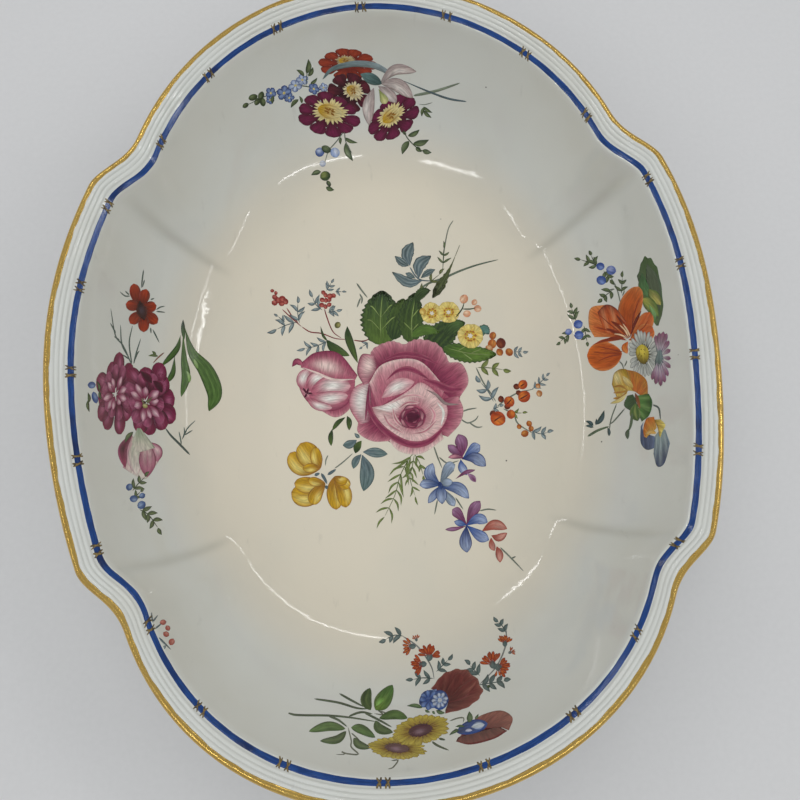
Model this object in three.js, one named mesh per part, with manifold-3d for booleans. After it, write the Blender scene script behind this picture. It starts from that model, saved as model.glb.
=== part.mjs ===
// Oval porcelain bowl with a lobed rim.
// Two wide side lobes and two narrower end lobes meet at four stepped shoulders. A crease runs from each
// shoulder down the wall and dies out on the floor. The everted lip is reeded and ends in a gilt bead,
// and a blue enamel band, crossed by small gilt ties, runs round the foot of the lip.
// Units are millimetres, +Z is up, the width is along X and the length along Y.
// The origin is the middle of the foot's underside.

import * as THREE from 'three';
import { LoftGeometry } from 'three/addons/geometries/LoftGeometry.js';
import { mergeVertices } from 'three/addons/utils/BufferGeometryUtils.js';
import Module from 'manifold-3d';

// Overall sizes
const OVERALL_WIDTH = 260;
const OVERALL_LENGTH = 328;
const OVERALL_HEIGHT = 80;

// Rim outline: radii of the lobes' arcs, and the angle from +X, with its spread, where one gives way
// to the other
const SIDE_LOBE_RADIUS = 206;
const END_LOBE_RADIUS = 104;
const SHOULDER_ANGLE = 39;
const SHOULDER_SPREAD = 15;

// Floor, and the angle and spread that each crease has shrunk to there
const FLOOR_WIDTH = 166;
const FLOOR_LENGTH = 200;
const FLOOR_DISH = 2;
const FLOOR_THICKNESS = 4.5;
const CREASE_ANGLE = 43.5;
const CREASE_SPREAD = 7;

// Wall
const WALL_THICKNESS = 4;
const FLOOR_CURVE = 0.42;
const FLOOR_CURVE_RISE = 0.02;
const WALL_FLARE = 0.14;
const WALL_STEEPNESS = 0.54;

// Clearance between a layer and what it lies on
const LAYER_GAP = 0.3;

// Rolled edge and its gilding
const EDGE_CORE_RADIUS = 1.1;
const GILDING_THICKNESS = 0.4;
const GILDING_TOP_ANGLE = 120;
const GILDING_UNDER_ANGLE = -60;
const EDGE_RADIUS = EDGE_CORE_RADIUS + LAYER_GAP + GILDING_THICKNESS;
const EDGE_RETURN = 40;

// Blue enamel band
const BAND_INSET = 7.9;
const BAND_WIDTH = 1.9;
const BAND_THICKNESS = 0.3;
const BAND_MARGIN = 0.8;

// Everted lip, measured inwards from the rim and downwards from the top
const LIP_WIDTH = BAND_INSET + BAND_WIDTH + BAND_MARGIN;
const LIP_DROP = 5.6;
const LIP_SHOULDER_DROP = 0.6;
const LIP_BREAK = 0.6;
const WALL_BREAK = 0.04;
const REED_COUNT = 3;
const REED_HEIGHT = 0.35;

// Gilt ties: two crosses side by side over the band
const TIE_COUNT = 24;
const TIE_THICKNESS = 0.4;
const TIE_OVERHANG = 0.9;
const CROSS_WIDTH = 3.1;
const CROSS_STROKE = 0.6;
const SPACING_DRIFT = 0.22;
const SPACING_OFFSET = -0.08;
const DRIFT_START = 2;

// Foot ring, set in from the edge of the floor
const FOOT_SETBACK = 6;
const FOOT_WIDTH = FLOOR_WIDTH - 2 * FOOT_SETBACK;
const FOOT_LENGTH = FLOOR_LENGTH - 2 * FOOT_SETBACK;
const FOOT_HEIGHT = 6;
const FOOT_TOP = 7;
const FOOT_NECK = 3.8;
const FOOT_CONTACT = 2.2;
const FOOT_ROUND = 0.8;
const FOOT_FLARE_POWER = 4;
const FOOT_SEAT_MARGIN = 1;

// Smoothness
const STATIONS_PER_QUARTER = 22;
const STATION_PACKING = 0.5;
const FOOT_STATIONS = 44;
const FOOT_FLARE_STEPS = 3;
const FLOOR_STEPS = 2;
const WALL_STEPS = 8;
const OUTER_WALL_STEPS = 6;
const EDGE_STEPS = 6;
const REED_STEPS = 3;
const TIE_SEARCH_STEPS = 1440;
const SMALL_STEP = 0.001;
const QUARTER_TURN = 90;

const COLOURS = {
  glaze: 0xdedad0,
  biscuit: 0xe6ddcb,
  gold: 0xb98a2e,
  cobalt: 0x1f3f86,
};

const wasm = await Module();
wasm.setup();

const bowl = new THREE.Group();
bowl.name = 'oval_bowl';

const radians = THREE.MathUtils.degToRad;

// The same angle seen from the nearest end of the X axis, from 0 to a quarter turn
function foldedAngle(angle) {
  return Math.atan2(Math.abs(Math.sin(angle)), Math.abs(Math.cos(angle)));
}

// Distance from the middle to an arc of the given radius that bulges to reach along one axis
function lobe(along, across, reach, radius) {
  const centre = reach - radius;
  return centre * along + Math.sqrt(radius ** 2 - (centre * across) ** 2);
}

// Rim outline: the side lobe gives way to the end lobe, later and more sharply the lower the level.
// A level of 1 is the rim and 0 is the floor.
function outlineRadius(angle, level) {
  const folded = foldedAngle(angle);
  const along = Math.cos(folded);
  const across = Math.sin(folded);
  const side = lobe(along, across, OVERALL_WIDTH / 2, SIDE_LOBE_RADIUS);
  const end = lobe(across, along, OVERALL_LENGTH / 2, END_LOBE_RADIUS);
  const middle = radians(THREE.MathUtils.lerp(CREASE_ANGLE, SHOULDER_ANGLE, level));
  const half = radians(THREE.MathUtils.lerp(CREASE_SPREAD, SHOULDER_SPREAD, level)) / 2;
  const share = THREE.MathUtils.smoothstep(folded, middle - half, middle + half);
  return THREE.MathUtils.lerp(side, end, share);
}

function ovalRadius(angle, width, length) {
  return 1 / Math.hypot(Math.cos(angle) / (width / 2), Math.sin(angle) / (length / 2));
}

function bezier(t, a, b, c, d) {
  const s = 1 - t;
  return s ** 3 * a + 3 * s ** 2 * t * b + 3 * s * t ** 2 * c + t ** 3 * d;
}

// Slope of the everted lip, and the direction that points straight off it
const LIP_START = EDGE_RADIUS * (1 - Math.cos(radians(GILDING_TOP_ANGLE))) + LAYER_GAP;
const LIP_SLOPE = (LIP_DROP - LIP_SHOULDER_DROP) / (LIP_WIDTH - LIP_START);
const LIP_ANGLE = Math.atan(LIP_SLOPE);

// A point over the lip: in from the rim, and lifted square to the lip's slope
function lipPoint(angle, inset, lift = 0) {
  const fall = LIP_SHOULDER_DROP + (inset - LIP_START) * LIP_SLOPE;
  return new THREE.Vector2(
    outlineRadius(angle, 1) - inset - lift * Math.sin(LIP_ANGLE),
    OVERALL_HEIGHT - fall + lift * Math.cos(LIP_ANGLE),
  );
}

const FLOOR_TOP = FOOT_HEIGHT + FLOOR_THICKNESS;
const FLOOR_EDGE = FLOOR_TOP + FLOOR_DISH;
const LIP_FOOT = OVERALL_HEIGHT - LIP_DROP;

// Inside of the wall: a curve from the floor's oval at t = 0 to the foot of the lip at t = 1
function wallPoint(angle, t) {
  const reach = bezier(t, 0, FLOOR_CURVE, 1 - WALL_FLARE, 1);
  const rise = bezier(t, 0, FLOOR_CURVE_RISE, 1 - WALL_STEEPNESS, 1);
  const floor = ovalRadius(angle, FLOOR_WIDTH, FLOOR_LENGTH);
  const top = outlineRadius(angle, reach) - LIP_WIDTH;
  return new THREE.Vector2(
    THREE.MathUtils.lerp(floor, top, reach),
    THREE.MathUtils.lerp(FLOOR_EDGE, LIP_FOOT, rise),
  );
}

// Outside of the wall: the inside moved out square to its own curve
function outerWallPoint(angle, t) {
  const here = wallPoint(angle, t);
  const above = wallPoint(angle, t + SMALL_STEP);
  const tangent = above.sub(wallPoint(angle, t - SMALL_STEP)).normalize();
  return here.add(new THREE.Vector2(tangent.y, -tangent.x).multiplyScalar(WALL_THICKNESS));
}

// A point on a circle round the middle of the rolled edge
function edgePoint(angle, radius, turn) {
  return new THREE.Vector2(
    outlineRadius(angle, 1) - EDGE_RADIUS + radius * Math.cos(radians(turn)),
    OVERALL_HEIGHT - EDGE_RADIUS + radius * Math.sin(radians(turn)),
  );
}

function edgeArc(angle, radius, from, to) {
  const points = [];
  for (let i = 0; i <= EDGE_STEPS; i++) {
    points.push(edgePoint(angle, radius, THREE.MathUtils.lerp(from, to, i / EDGE_STEPS)));
  }
  return points;
}

// Reeds on the lip, from the blue band out to the gilding
function reedPoints(angle) {
  const zone = BAND_INSET - LAYER_GAP - LIP_START;
  const steps = REED_COUNT * REED_STEPS;
  const points = [];
  for (let i = 0; i <= steps; i++) {
    const inset = LIP_START + zone * (1 - i / steps);
    const relief = REED_HEIGHT * Math.abs(Math.sin((Math.PI * i) / REED_STEPS));
    points.push(lipPoint(angle, inset, relief));
  }
  return points;
}

// Soft break where the wall turns out into the lip
function breakPoints(angle) {
  const wall = wallPoint(angle, 1 - WALL_BREAK);
  const corner = wallPoint(angle, 1);
  const lip = lipPoint(angle, LIP_WIDTH - LIP_BREAK);
  const middle = wall.clone().add(lip).multiplyScalar(0.25).addScaledVector(corner, 0.5);
  return [wall, middle, lip];
}

// Section of the body, from the middle of the floor up to the rim and back underneath
function bodySection(angle) {
  const points = [];
  const floor = ovalRadius(angle, FLOOR_WIDTH, FLOOR_LENGTH);
  for (let i = 0; i <= FLOOR_STEPS; i++) {
    const share = i / FLOOR_STEPS;
    points.push(new THREE.Vector2(floor * share, FLOOR_TOP + FLOOR_DISH * share ** 2));
  }
  for (let i = 1; i < WALL_STEPS; i++) {
    points.push(wallPoint(angle, i / WALL_STEPS));
  }
  points.push(...breakPoints(angle));
  points.push(...reedPoints(angle));
  points.push(...edgeArc(angle, EDGE_CORE_RADIUS, GILDING_TOP_ANGLE, GILDING_UNDER_ANGLE));
  points.push(edgePoint(angle, EDGE_RADIUS, GILDING_UNDER_ANGLE - EDGE_RETURN));
  for (let i = OUTER_WALL_STEPS; i >= 0; i--) {
    points.push(outerWallPoint(angle, i / OUTER_WALL_STEPS));
  }
  const seat = ovalRadius(angle, FOOT_WIDTH, FOOT_LENGTH) + FOOT_SEAT_MARGIN;
  points.push(new THREE.Vector2(seat, FOOT_HEIGHT));
  points.push(new THREE.Vector2(0, FOOT_HEIGHT));
  return points;
}

// Gilding wrapped round the rolled edge
function gildingSection(angle) {
  const inner = EDGE_RADIUS - GILDING_THICKNESS;
  return [
    ...edgeArc(angle, EDGE_RADIUS, GILDING_TOP_ANGLE, GILDING_UNDER_ANGLE),
    ...edgeArc(angle, inner, GILDING_UNDER_ANGLE, GILDING_TOP_ANGLE),
  ];
}

// A flat layer lying on the lip
function layerSection(angle, inset, width, lift, thickness) {
  return [
    lipPoint(angle, inset + width, lift + thickness),
    lipPoint(angle, inset, lift + thickness),
    lipPoint(angle, inset, lift),
    lipPoint(angle, inset + width, lift),
  ];
}

function bandSection(angle) {
  return layerSection(angle, BAND_INSET, BAND_WIDTH, LAYER_GAP, BAND_THICKNESS);
}

// Foot ring: a narrow rounded edge below, a neck, and a flare up into the body
function footSection(angle) {
  const middle = ovalRadius(angle, FOOT_WIDTH, FOOT_LENGTH) - FOOT_TOP / 2;
  const round = FOOT_ROUND / FOOT_HEIGHT;
  const levels = [];
  for (let i = 0; i < FOOT_FLARE_STEPS; i++) {
    levels.push(THREE.MathUtils.lerp(1, round, i / FOOT_FLARE_STEPS));
  }
  levels.push(round, round / 3, 0);
  const half = (level) => {
    const flare = ((FOOT_TOP - FOOT_NECK) / 2) * level ** FOOT_FLARE_POWER;
    const below = Math.max(0, 1 - (level * FOOT_HEIGHT) / FOOT_ROUND);
    return FOOT_NECK / 2 + flare - ((FOOT_NECK - FOOT_CONTACT) / 2) * below ** 2;
  };
  const outer = levels.map((level) => new THREE.Vector2(middle + half(level), FOOT_HEIGHT * level));
  const inner = levels.map((level) => new THREE.Vector2(middle - half(level), FOOT_HEIGHT * level));
  return [...outer, ...inner.reverse()];
}

// Angles round the bowl, closer together at the four shoulders
function packedAngles() {
  const quarterAngle = (share) =>
    QUARTER_TURN * (share + (STATION_PACKING * Math.sin(2 * Math.PI * share)) / (2 * Math.PI)) -
    (QUARTER_TURN / 2 - SHOULDER_ANGLE) * Math.sin(Math.PI * share) ** 2;
  const angles = [];
  for (let i = 0; i <= 4 * STATIONS_PER_QUARTER; i++) {
    const quarter = Math.floor(i / STATIONS_PER_QUARTER);
    const share = i / STATIONS_PER_QUARTER - quarter;
    const mirrored = quarter % 2 === 1;
    const turn = mirrored
      ? QUARTER_TURN * (quarter + 1) - quarterAngle(1 - share)
      : QUARTER_TURN * quarter + quarterAngle(share);
    angles.push(radians(turn));
  }
  return angles;
}

function evenAngles(count) {
  return Array.from({ length: count + 1 }, (_, i) => (2 * Math.PI * i) / count);
}

// Lofts a section round the Z axis through the given angles
function loftRound(section, angles, closed) {
  const sections = angles.map((angle) =>
    section(angle).map(
      (p) => new THREE.Vector3(p.x * Math.cos(angle), p.x * Math.sin(angle), p.y),
    ),
  );
  return new LoftGeometry(sections, { closed });
}

function solidOf(geometry) {
  const bare = new THREE.BufferGeometry();
  bare.setAttribute('position', geometry.getAttribute('position'));
  bare.setIndex(geometry.index);
  const merged = mergeVertices(bare, 0.001);
  return new wasm.Manifold(
    new wasm.Mesh({
      numProp: 3,
      vertProperties: merged.attributes.position.array,
      triVerts: new Uint32Array(merged.index.array),
    }),
  );
}

function geometryOf(solid) {
  const mesh = solid.getMesh();
  const geometry = new THREE.BufferGeometry();
  geometry.setAttribute('position', new THREE.BufferAttribute(mesh.vertProperties, 3));
  geometry.setIndex(new THREE.BufferAttribute(mesh.triVerts, 1));
  geometry.computeVertexNormals();
  return geometry;
}

function addPiece(name, geometry, material) {
  const piece = new THREE.Mesh(geometry, material);
  piece.name = name;
  bowl.add(piece);
}

// Angles at which the ties sit: even steps along the band, with the slight drift of spacing by eye
function tieAngles() {
  const fine = evenAngles(TIE_SEARCH_STEPS);
  const middle = BAND_INSET + BAND_WIDTH / 2;
  const lengths = [0];
  for (let i = 1; i < fine.length; i++) {
    const from = outlineRadius(fine[i - 1], 1) - middle;
    const to = outlineRadius(fine[i], 1) - middle;
    lengths.push(lengths[i - 1] + Math.hypot(to - from, from * (fine[i] - fine[i - 1])));
  }
  const angles = [];
  for (let i = 0; i < TIE_COUNT; i++) {
    const wave = Math.sin((2 * Math.PI * (i - DRIFT_START)) / TIE_COUNT);
    const share = (i + SPACING_OFFSET + SPACING_DRIFT * wave) / TIE_COUNT;
    const target = THREE.MathUtils.euclideanModulo(share, 1) * lengths[lengths.length - 1];
    angles.push(fine[lengths.findIndex((length) => length >= target)]);
  }
  return angles;
}

// Upright bars that cut the crosses out of the gold layer, with X along the band and Y across it
function crossBars() {
  const across = BAND_WIDTH + 2 * TIE_OVERHANG;
  const lean = Math.atan2(CROSS_WIDTH - CROSS_STROKE, across);
  const bars = [];
  for (const centre of [-0.5, 0.5]) {
    for (const side of [-1, 1]) {
      const bar = new THREE.BoxGeometry(CROSS_STROKE, 2 * across, OVERALL_HEIGHT);
      bar.rotateZ(side * lean);
      bar.translate(centre * (CROSS_WIDTH - CROSS_STROKE / 2), 0, OVERALL_HEIGHT);
      bars.push(solidOf(bar));
    }
  }
  return bars.reduce((all, bar) => all.add(bar));
}

function addTies(material) {
  const lift = Math.max(LAYER_GAP + BAND_THICKNESS, REED_HEIGHT) + LAYER_GAP;
  const inset = BAND_INSET - TIE_OVERHANG;
  const width = BAND_WIDTH + 2 * TIE_OVERHANG;
  const section = (angle) => layerSection(angle, inset, width, lift, TIE_THICKNESS);
  const layer = solidOf(loftRound(section, packedAngles(), true));
  const bars = crossBars();
  const middle = BAND_INSET + BAND_WIDTH / 2;
  tieAngles().forEach((angle, i) => {
    const radius = outlineRadius(angle, 1) - middle;
    const rise = outlineRadius(angle + SMALL_STEP, 1) - outlineRadius(angle - SMALL_STEP, 1);
    const lean = Math.atan2(rise / (2 * SMALL_STEP), radius);
    const place = new THREE.Matrix4()
      .makeRotationZ(angle - Math.PI / 2 - lean)
      .setPosition(radius * Math.cos(angle), radius * Math.sin(angle), 0);
    const tie = layer.intersect(bars.transform(place.elements));
    addPiece(`gilt_tie_${String(i + 1).padStart(2, '0')}`, geometryOf(tie), material);
  });
}

const glaze = new THREE.MeshStandardMaterial({ color: COLOURS.glaze, roughness: 0.12, metalness: 0 });
const biscuit = new THREE.MeshStandardMaterial({ color: COLOURS.biscuit, roughness: 0.7, metalness: 0 });
const gold = new THREE.MeshStandardMaterial({ color: COLOURS.gold, roughness: 0.28, metalness: 1 });
const cobalt = new THREE.MeshStandardMaterial({ color: COLOURS.cobalt, roughness: 0.15, metalness: 0 });

addPiece('porcelain_body', loftRound(bodySection, packedAngles(), false), glaze);
addPiece('foot_ring', loftRound(footSection, evenAngles(FOOT_STATIONS), true), biscuit);
addPiece('rim_gilding', loftRound(gildingSection, packedAngles(), true), gold);
addPiece('blue_band', loftRound(bandSection, packedAngles(), true), cobalt);
addTies(gold);

export default bowl;
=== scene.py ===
"""Dresses the packed oval porcelain bowl: glazed body, foot ring, gilt edge, blue band with gilt
ties, and flower sprays in enamel, on a plain pale floor."""
import math

import bpy
import numpy as np
from mathutils import Matrix, Vector


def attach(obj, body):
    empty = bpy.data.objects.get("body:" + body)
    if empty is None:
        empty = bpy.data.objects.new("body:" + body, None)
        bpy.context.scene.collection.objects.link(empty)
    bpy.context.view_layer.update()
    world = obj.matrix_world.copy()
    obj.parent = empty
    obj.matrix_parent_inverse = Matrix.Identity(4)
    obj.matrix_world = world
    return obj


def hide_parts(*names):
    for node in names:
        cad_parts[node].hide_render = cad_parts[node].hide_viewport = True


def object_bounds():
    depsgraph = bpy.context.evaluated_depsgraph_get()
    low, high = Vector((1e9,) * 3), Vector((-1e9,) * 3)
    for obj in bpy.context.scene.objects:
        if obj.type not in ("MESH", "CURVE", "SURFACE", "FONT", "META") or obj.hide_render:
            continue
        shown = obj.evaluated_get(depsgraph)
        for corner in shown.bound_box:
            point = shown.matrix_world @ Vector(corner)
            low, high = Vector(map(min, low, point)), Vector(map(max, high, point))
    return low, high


bl_info = {"name": "Oval painted bowl", "version": (1, 0, 0), "blender": (4, 5, 0),
    "location": "3D View > Sidebar > Bowl",
    "description": "Makes the glaze, gilding, enamel band and painted flowers of an oval bowl",
    "category": "Mesh"}

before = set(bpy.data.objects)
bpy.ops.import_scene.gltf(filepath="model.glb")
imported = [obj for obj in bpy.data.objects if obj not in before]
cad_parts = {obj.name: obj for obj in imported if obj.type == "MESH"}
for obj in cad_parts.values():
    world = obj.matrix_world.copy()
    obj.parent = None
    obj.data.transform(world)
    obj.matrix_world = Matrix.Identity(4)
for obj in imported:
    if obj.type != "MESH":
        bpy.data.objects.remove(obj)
CAD_LOW, CAD_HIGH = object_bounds()
CAD_SIZE = CAD_HIGH - CAD_LOW
TIES = sorted(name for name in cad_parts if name.startswith("gilt_tie_"))

MM = 0.001

# Form of the body, as the solids have it
SIDE_LOBE_RADIUS = 206 * MM
END_LOBE_RADIUS = 104 * MM
SHOULDER_ANGLE = math.radians(39)
SHOULDER_SPREAD = math.radians(12)
CREASE_ANGLE = math.radians(43.5)
CREASE_SPREAD = math.radians(7)
FOLD_DEPTH = 0.8 * MM
FOLD_SPREAD = math.radians(1.2)
FOLD_SHIFT = 0.55
FLOOR_WIDTH = 166 * MM
FLOOR_LENGTH = 200 * MM
FLOOR_DISH = 2 * MM
FLOOR_CURVE = 0.42
FLOOR_CURVE_RISE = 0.02
WALL_FLARE = 0.14
WALL_STEEPNESS = 0.54
LIP_WIDTH = 10.6 * MM
LIP_START = 3.0 * MM
LIP_DROP = 5.6 * MM
LIP_SHOULDER_DROP = 0.6 * MM
LIP_BREAK = 0.6 * MM
WALL_BREAK = 0.04
REED_END = 7.2 * MM
REED_COUNT = 3
REED_HEIGHT = 0.35 * MM
FOOT_WIDTH = 154 * MM
FOOT_LENGTH = 188 * MM
FOOT_HEIGHT = 6 * MM
FOOT_TOP = 7 * MM
FOOT_NECK = 3.8 * MM
FOOT_CONTACT = 2.2 * MM
FOOT_ROUND = 0.8 * MM

# Gilt ties: two small crosses each, and how their spacing drifts round the rim
TIE_COUNT = 24
TIE_OFFSET = -0.08
TIE_DRIFT = 0.22
TIE_DRIFT_START = 2
CROSS_STEP = 3.0 * MM
CROSS_LENGTH = 1.5 * MM
CROSS_REACH = 3.4 * MM
CROSS_STROKE = 0.75 * MM

# Slight unevenness of the hand-formed rim: for each count of waves round it, the cosine and sine
# shares of the change in radius. The rim is drawn in a little, so that it stays inside the solids.
RIM_WAVES = {2: (-0.2, 1.0), 3: (-0.3, -0.25), 4: (-0.65, -0.25), 5: (-0.6, 0.9)}
RIM_DRAWN_IN = 0.25 * MM
LENGTH_DRAWN_IN = 0.5 * MM

# Number of faces round the bowl, and how much closer they lie at the shoulders
COLUMNS = 480
COLUMN_PACKING = 0.5

# Rows of points along the body's section, and where its parts begin and end
FLOOR_ROWS, WALL_ROWS, SLOPE_ROWS, EDGE_ROWS, OUTER_ROWS = 22, 64, 8, 14, 34
POLE_SHARE = 0.04
EDGE_TURNS = (118, -80)
UNDER_LIP_BEND = (4.5 * MM, -2.6 * MM)
UNDER_LIP_NEAR, UNDER_LIP_END = 0.99, 0.94
SEAT_MARGIN = 1 * MM
HOLLOW_DEPTH = 0.5 * MM
FOOT_COLUMNS = 360
GILDING = 0.12 * MM
GILT_TURN, GILT_SWEEP, GILT_ROWS = 122, 184, 20
BAND_ROWS = 11
STROKE_ROWS = 13

# Step over which a slope is measured, and the search for the wall's t: its start and its rounds
SLOPE_STEP = 0.001
SEARCH_START_POWER = 1.2
SEARCH_ROUNDS = 7


def srgb(code):
    """Linear colour of a six-digit sRGB hex code."""
    share = np.array([int(code[i:i + 2], 16) for i in (0, 2, 4)]) / 255
    linear = np.where(share <= 0.04045, share / 12.92, ((share + 0.055) / 1.055) ** 2.4)
    return tuple(float(c) for c in linear)


def smoothstep(x):
    x = np.clip(x, 0, 1)
    return x * x * (3 - 2 * x)


def bezier(t, a, b, c, d):
    """Cubic curve through four values, as a weighted sum of powers of t and 1 - t."""
    s = 1 - t
    return s ** 3 * a + 3 * s ** 2 * t * b + 3 * s * t ** 2 * c + t ** 3 * d


class Form:
    """The bowl's surfaces: radius and height as functions of the angle round it."""

    def __init__(self, shape):
        self.half_width = shape.width / 2
        self.half_length = shape.length / 2 - LENGTH_DRAWN_IN
        self.top = shape.height
        self.wall = shape.wall_thickness
        self.floor_top = FOOT_HEIGHT + shape.floor_thickness
        self.edge_radius = shape.edge_radius
        self.band_inset = shape.band_inset
        self.band_width = shape.band_width

    def waves(self, angle):
        """Sum of a few cosine and sine waves round the rim, less the inward allowance."""
        change = sum(a * np.cos(k * angle) + b * np.sin(k * angle)
                     for k, (a, b) in RIM_WAVES.items())
        return change * MM - RIM_DRAWN_IN

    def outline(self, angle, level):
        """Radius of the lobed outline: the side lobe's arc blends into the end lobe's arc at each
        shoulder, further round and more sharply the lower the level, which is 1 at the rim and 0
        at the floor."""
        folded = np.arctan2(np.abs(np.sin(angle)), np.abs(np.cos(angle)))
        along, across = np.cos(folded), np.sin(folded)
        side = lobe(along, across, self.half_width, SIDE_LOBE_RADIUS)
        end = lobe(across, along, self.half_length, END_LOBE_RADIUS)
        middle, half = self.shoulder(level)
        share = smoothstep((folded - middle + half) / (2 * half))
        blended = side + (end - side) * share + self.waves(angle) * level
        return blended + FOLD_DEPTH * self.fold(angle, level)

    def shoulder(self, level):
        """Middle and half-width of the turn from the side lobe into the end lobe."""
        middle = CREASE_ANGLE + (SHOULDER_ANGLE - CREASE_ANGLE) * level
        return middle, (CREASE_SPREAD + (SHOULDER_SPREAD - CREASE_SPREAD) * level) / 2

    def fold(self, angle, level):
        """Depth of the crease down each shoulder, from 0 to 1: a bell curve beside the turn, which
        starts below the lip and dies out on the floor."""
        folded = np.arctan2(np.abs(np.sin(angle)), np.abs(np.cos(angle)))
        middle, half = self.shoulder(level)
        off = (folded - middle + FOLD_SHIFT * half) / FOLD_SPREAD
        level = np.asarray(level, float)
        return np.exp(-off ** 2) * (1 - level ** 8) * smoothstep(level / 0.35)

    def floor(self, angle, share):
        """Dished floor: the height grows with the square of the share of the way to its edge."""
        radius = oval(angle, FLOOR_WIDTH, FLOOR_LENGTH) * share
        return radius, self.floor_top + FLOOR_DISH * share ** 2 + 0 * angle

    def inner_wall(self, angle, t):
        """Inside of the wall: reach and rise are cubic curves of t, between the floor's oval and
        the foot of the lip."""
        reach = bezier(t, 0, FLOOR_CURVE, 1 - WALL_FLARE, 1)
        rise = bezier(t, 0, FLOOR_CURVE_RISE, 1 - WALL_STEEPNESS, 1)
        floor = oval(angle, FLOOR_WIDTH, FLOOR_LENGTH)
        foot = self.floor_top + FLOOR_DISH
        radius = floor + (self.outline(angle, reach) - LIP_WIDTH - floor) * reach
        return radius, foot + (self.top - LIP_DROP - foot) * rise + 0 * angle

    def outer_wall(self, angle, t):
        """Outside of the wall: the inside moved out square to its own curve."""
        radius, height = self.inner_wall(angle, t)
        above = self.inner_wall(angle, t + SLOPE_STEP)
        below = self.inner_wall(angle, t - SLOPE_STEP)
        run, climb = above[0] - below[0], above[1] - below[1]
        length = np.hypot(run, climb)
        return radius + self.wall * climb / length, height - self.wall * run / length

    def lip(self, angle, inset, lift=0):
        """Everted lip: a straight slope from the edge down to the wall, with the point lifted
        square to it."""
        slope = (LIP_DROP - LIP_SHOULDER_DROP) / (LIP_WIDTH - LIP_START)
        tilt = math.atan(slope)
        radius = self.outline(angle, 1) - inset - lift * math.sin(tilt)
        fall = LIP_SHOULDER_DROP + (inset - LIP_START) * slope
        return radius, self.top - fall + lift * math.cos(tilt) + 0 * angle

    def edge(self, angle, radius, turn):
        """A circle round the middle of the rolled edge."""
        centre = self.outline(angle, 1) - self.edge_radius
        return (centre + radius * np.cos(turn),
            self.top - self.edge_radius + radius * np.sin(turn) + 0 * angle)

    def height_inside(self, x, y):
        """Height of the inner surface over a point. The wall's t is found from the radius by
        Newton steps."""
        angle, radius = np.arctan2(y, x), np.hypot(x, y)
        edge = oval(angle, FLOOR_WIDTH, FLOOR_LENGTH)
        reach = (radius - edge) / (self.outline(angle, 1) - LIP_WIDTH - edge)
        t = np.clip(reach, 0, 1) ** SEARCH_START_POWER
        for _ in range(SEARCH_ROUNDS):
            here = self.inner_wall(angle, t)[0]
            rate = (self.inner_wall(angle, t + SLOPE_STEP)[0] - here) / SLOPE_STEP
            t = np.clip(t - (here - radius) / rate, 0, 1)
        wall = self.inner_wall(angle, t)[1]
        floor = self.floor(angle, radius / edge)[1]
        return np.where(radius < edge, floor, wall)


def lobe(along, across, reach, radius):
    """Distance from the middle to an arc of the given radius that bulges out to reach."""
    centre = reach - radius
    return centre * along + np.sqrt(radius ** 2 - (centre * across) ** 2)


def oval(angle, width, length):
    return 1 / np.hypot(np.cos(angle) / (width / 2), np.sin(angle) / (length / 2))


def packed_angles(count):
    """Angles round the bowl: even steps plus a sine wave that draws them closer at the shoulders,
    mirrored from quarter to quarter."""
    share = np.arange(count // 4) / (count // 4)
    quarter = math.pi / 2

    def angle_at(s):
        drawn = s + COLUMN_PACKING * np.sin(2 * math.pi * s) / (2 * math.pi)
        return quarter * drawn - (quarter / 2 - SHOULDER_ANGLE) * np.sin(math.pi * s) ** 2

    turns = [
        quarter * (i + 1) - angle_at(1 - share) if i % 2 else quarter * i + angle_at(share)
        for i in range(4)
    ]
    return np.concatenate(turns)


def wrapped_quads(rows, columns, closed_rows):
    """Quads of a grid that wraps round in its columns, and in its rows for a closed section."""
    row = np.arange(rows if closed_rows else rows - 1)[:, None]
    column = np.arange(columns)[None, :]
    beside = (column + 1) % columns
    above = (row + 1) % rows
    corners = (row * columns + column, above * columns + column, above * columns + beside,
        row * columns + beside)
    return np.stack(np.broadcast_arrays(*corners), -1).reshape(-1, 4)


def pole(centre, ring, upward):
    """Triangles from a centre vertex to a ring of vertices."""
    turned = np.roll(ring, -1)
    pair = (ring, turned) if upward else (turned, ring)
    return np.stack([np.full(len(ring), centre), *pair], -1)


def new_mesh(name, points, polygons, materials):
    """A smooth mesh from an array of points and a list of arrays of polygons."""
    mesh = bpy.data.meshes.new(name)
    mesh.vertices.add(len(points))
    mesh.vertices.foreach_set("co", np.asarray(points, np.float32).ravel())
    sizes = np.concatenate([np.full(len(p), p.shape[1]) for p in polygons])
    mesh.loops.add(int(sizes.sum()))
    mesh.polygons.add(len(sizes))
    mesh.loops.foreach_set("vertex_index", np.concatenate([p.ravel() for p in polygons]))
    mesh.polygons.foreach_set("loop_start", np.concatenate([[0], np.cumsum(sizes)[:-1]]))
    for material in materials:
        mesh.materials.append(material)
    mesh.update(calc_edges=True)
    mesh.validate()
    mesh.shade_smooth()
    return mesh


def add_piece(name, mesh, replaces=()):
    """Links a finished mesh as a piece that rides on the bowl."""
    piece = bpy.data.objects.new(name, mesh)
    bpy.context.scene.collection.objects.link(piece)
    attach(piece, "root")
    if replaces:
        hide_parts(*replaces)
    return piece


def set_vectors(mesh, name, values):
    """Stores one vector for each vertex, for a pattern that follows the surface."""
    attribute = mesh.attributes.new(name, "FLOAT_VECTOR", "POINT")
    attribute.data.foreach_set("vector", np.asarray(values, np.float32).ravel())


def round_points(angle, radius, height):
    """Points of a section carried round the bowl, a row for each point of the section."""
    radius, height = np.broadcast_arrays(radius, height)
    return np.stack([radius * np.cos(angle), radius * np.sin(angle), height], -1)


# Materials

# Sockets of a Mix node for colours: factor, first and second colour, and the result
MIX_INPUTS = (0, 6, 7)
MIX_OUTPUT = 2

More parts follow.
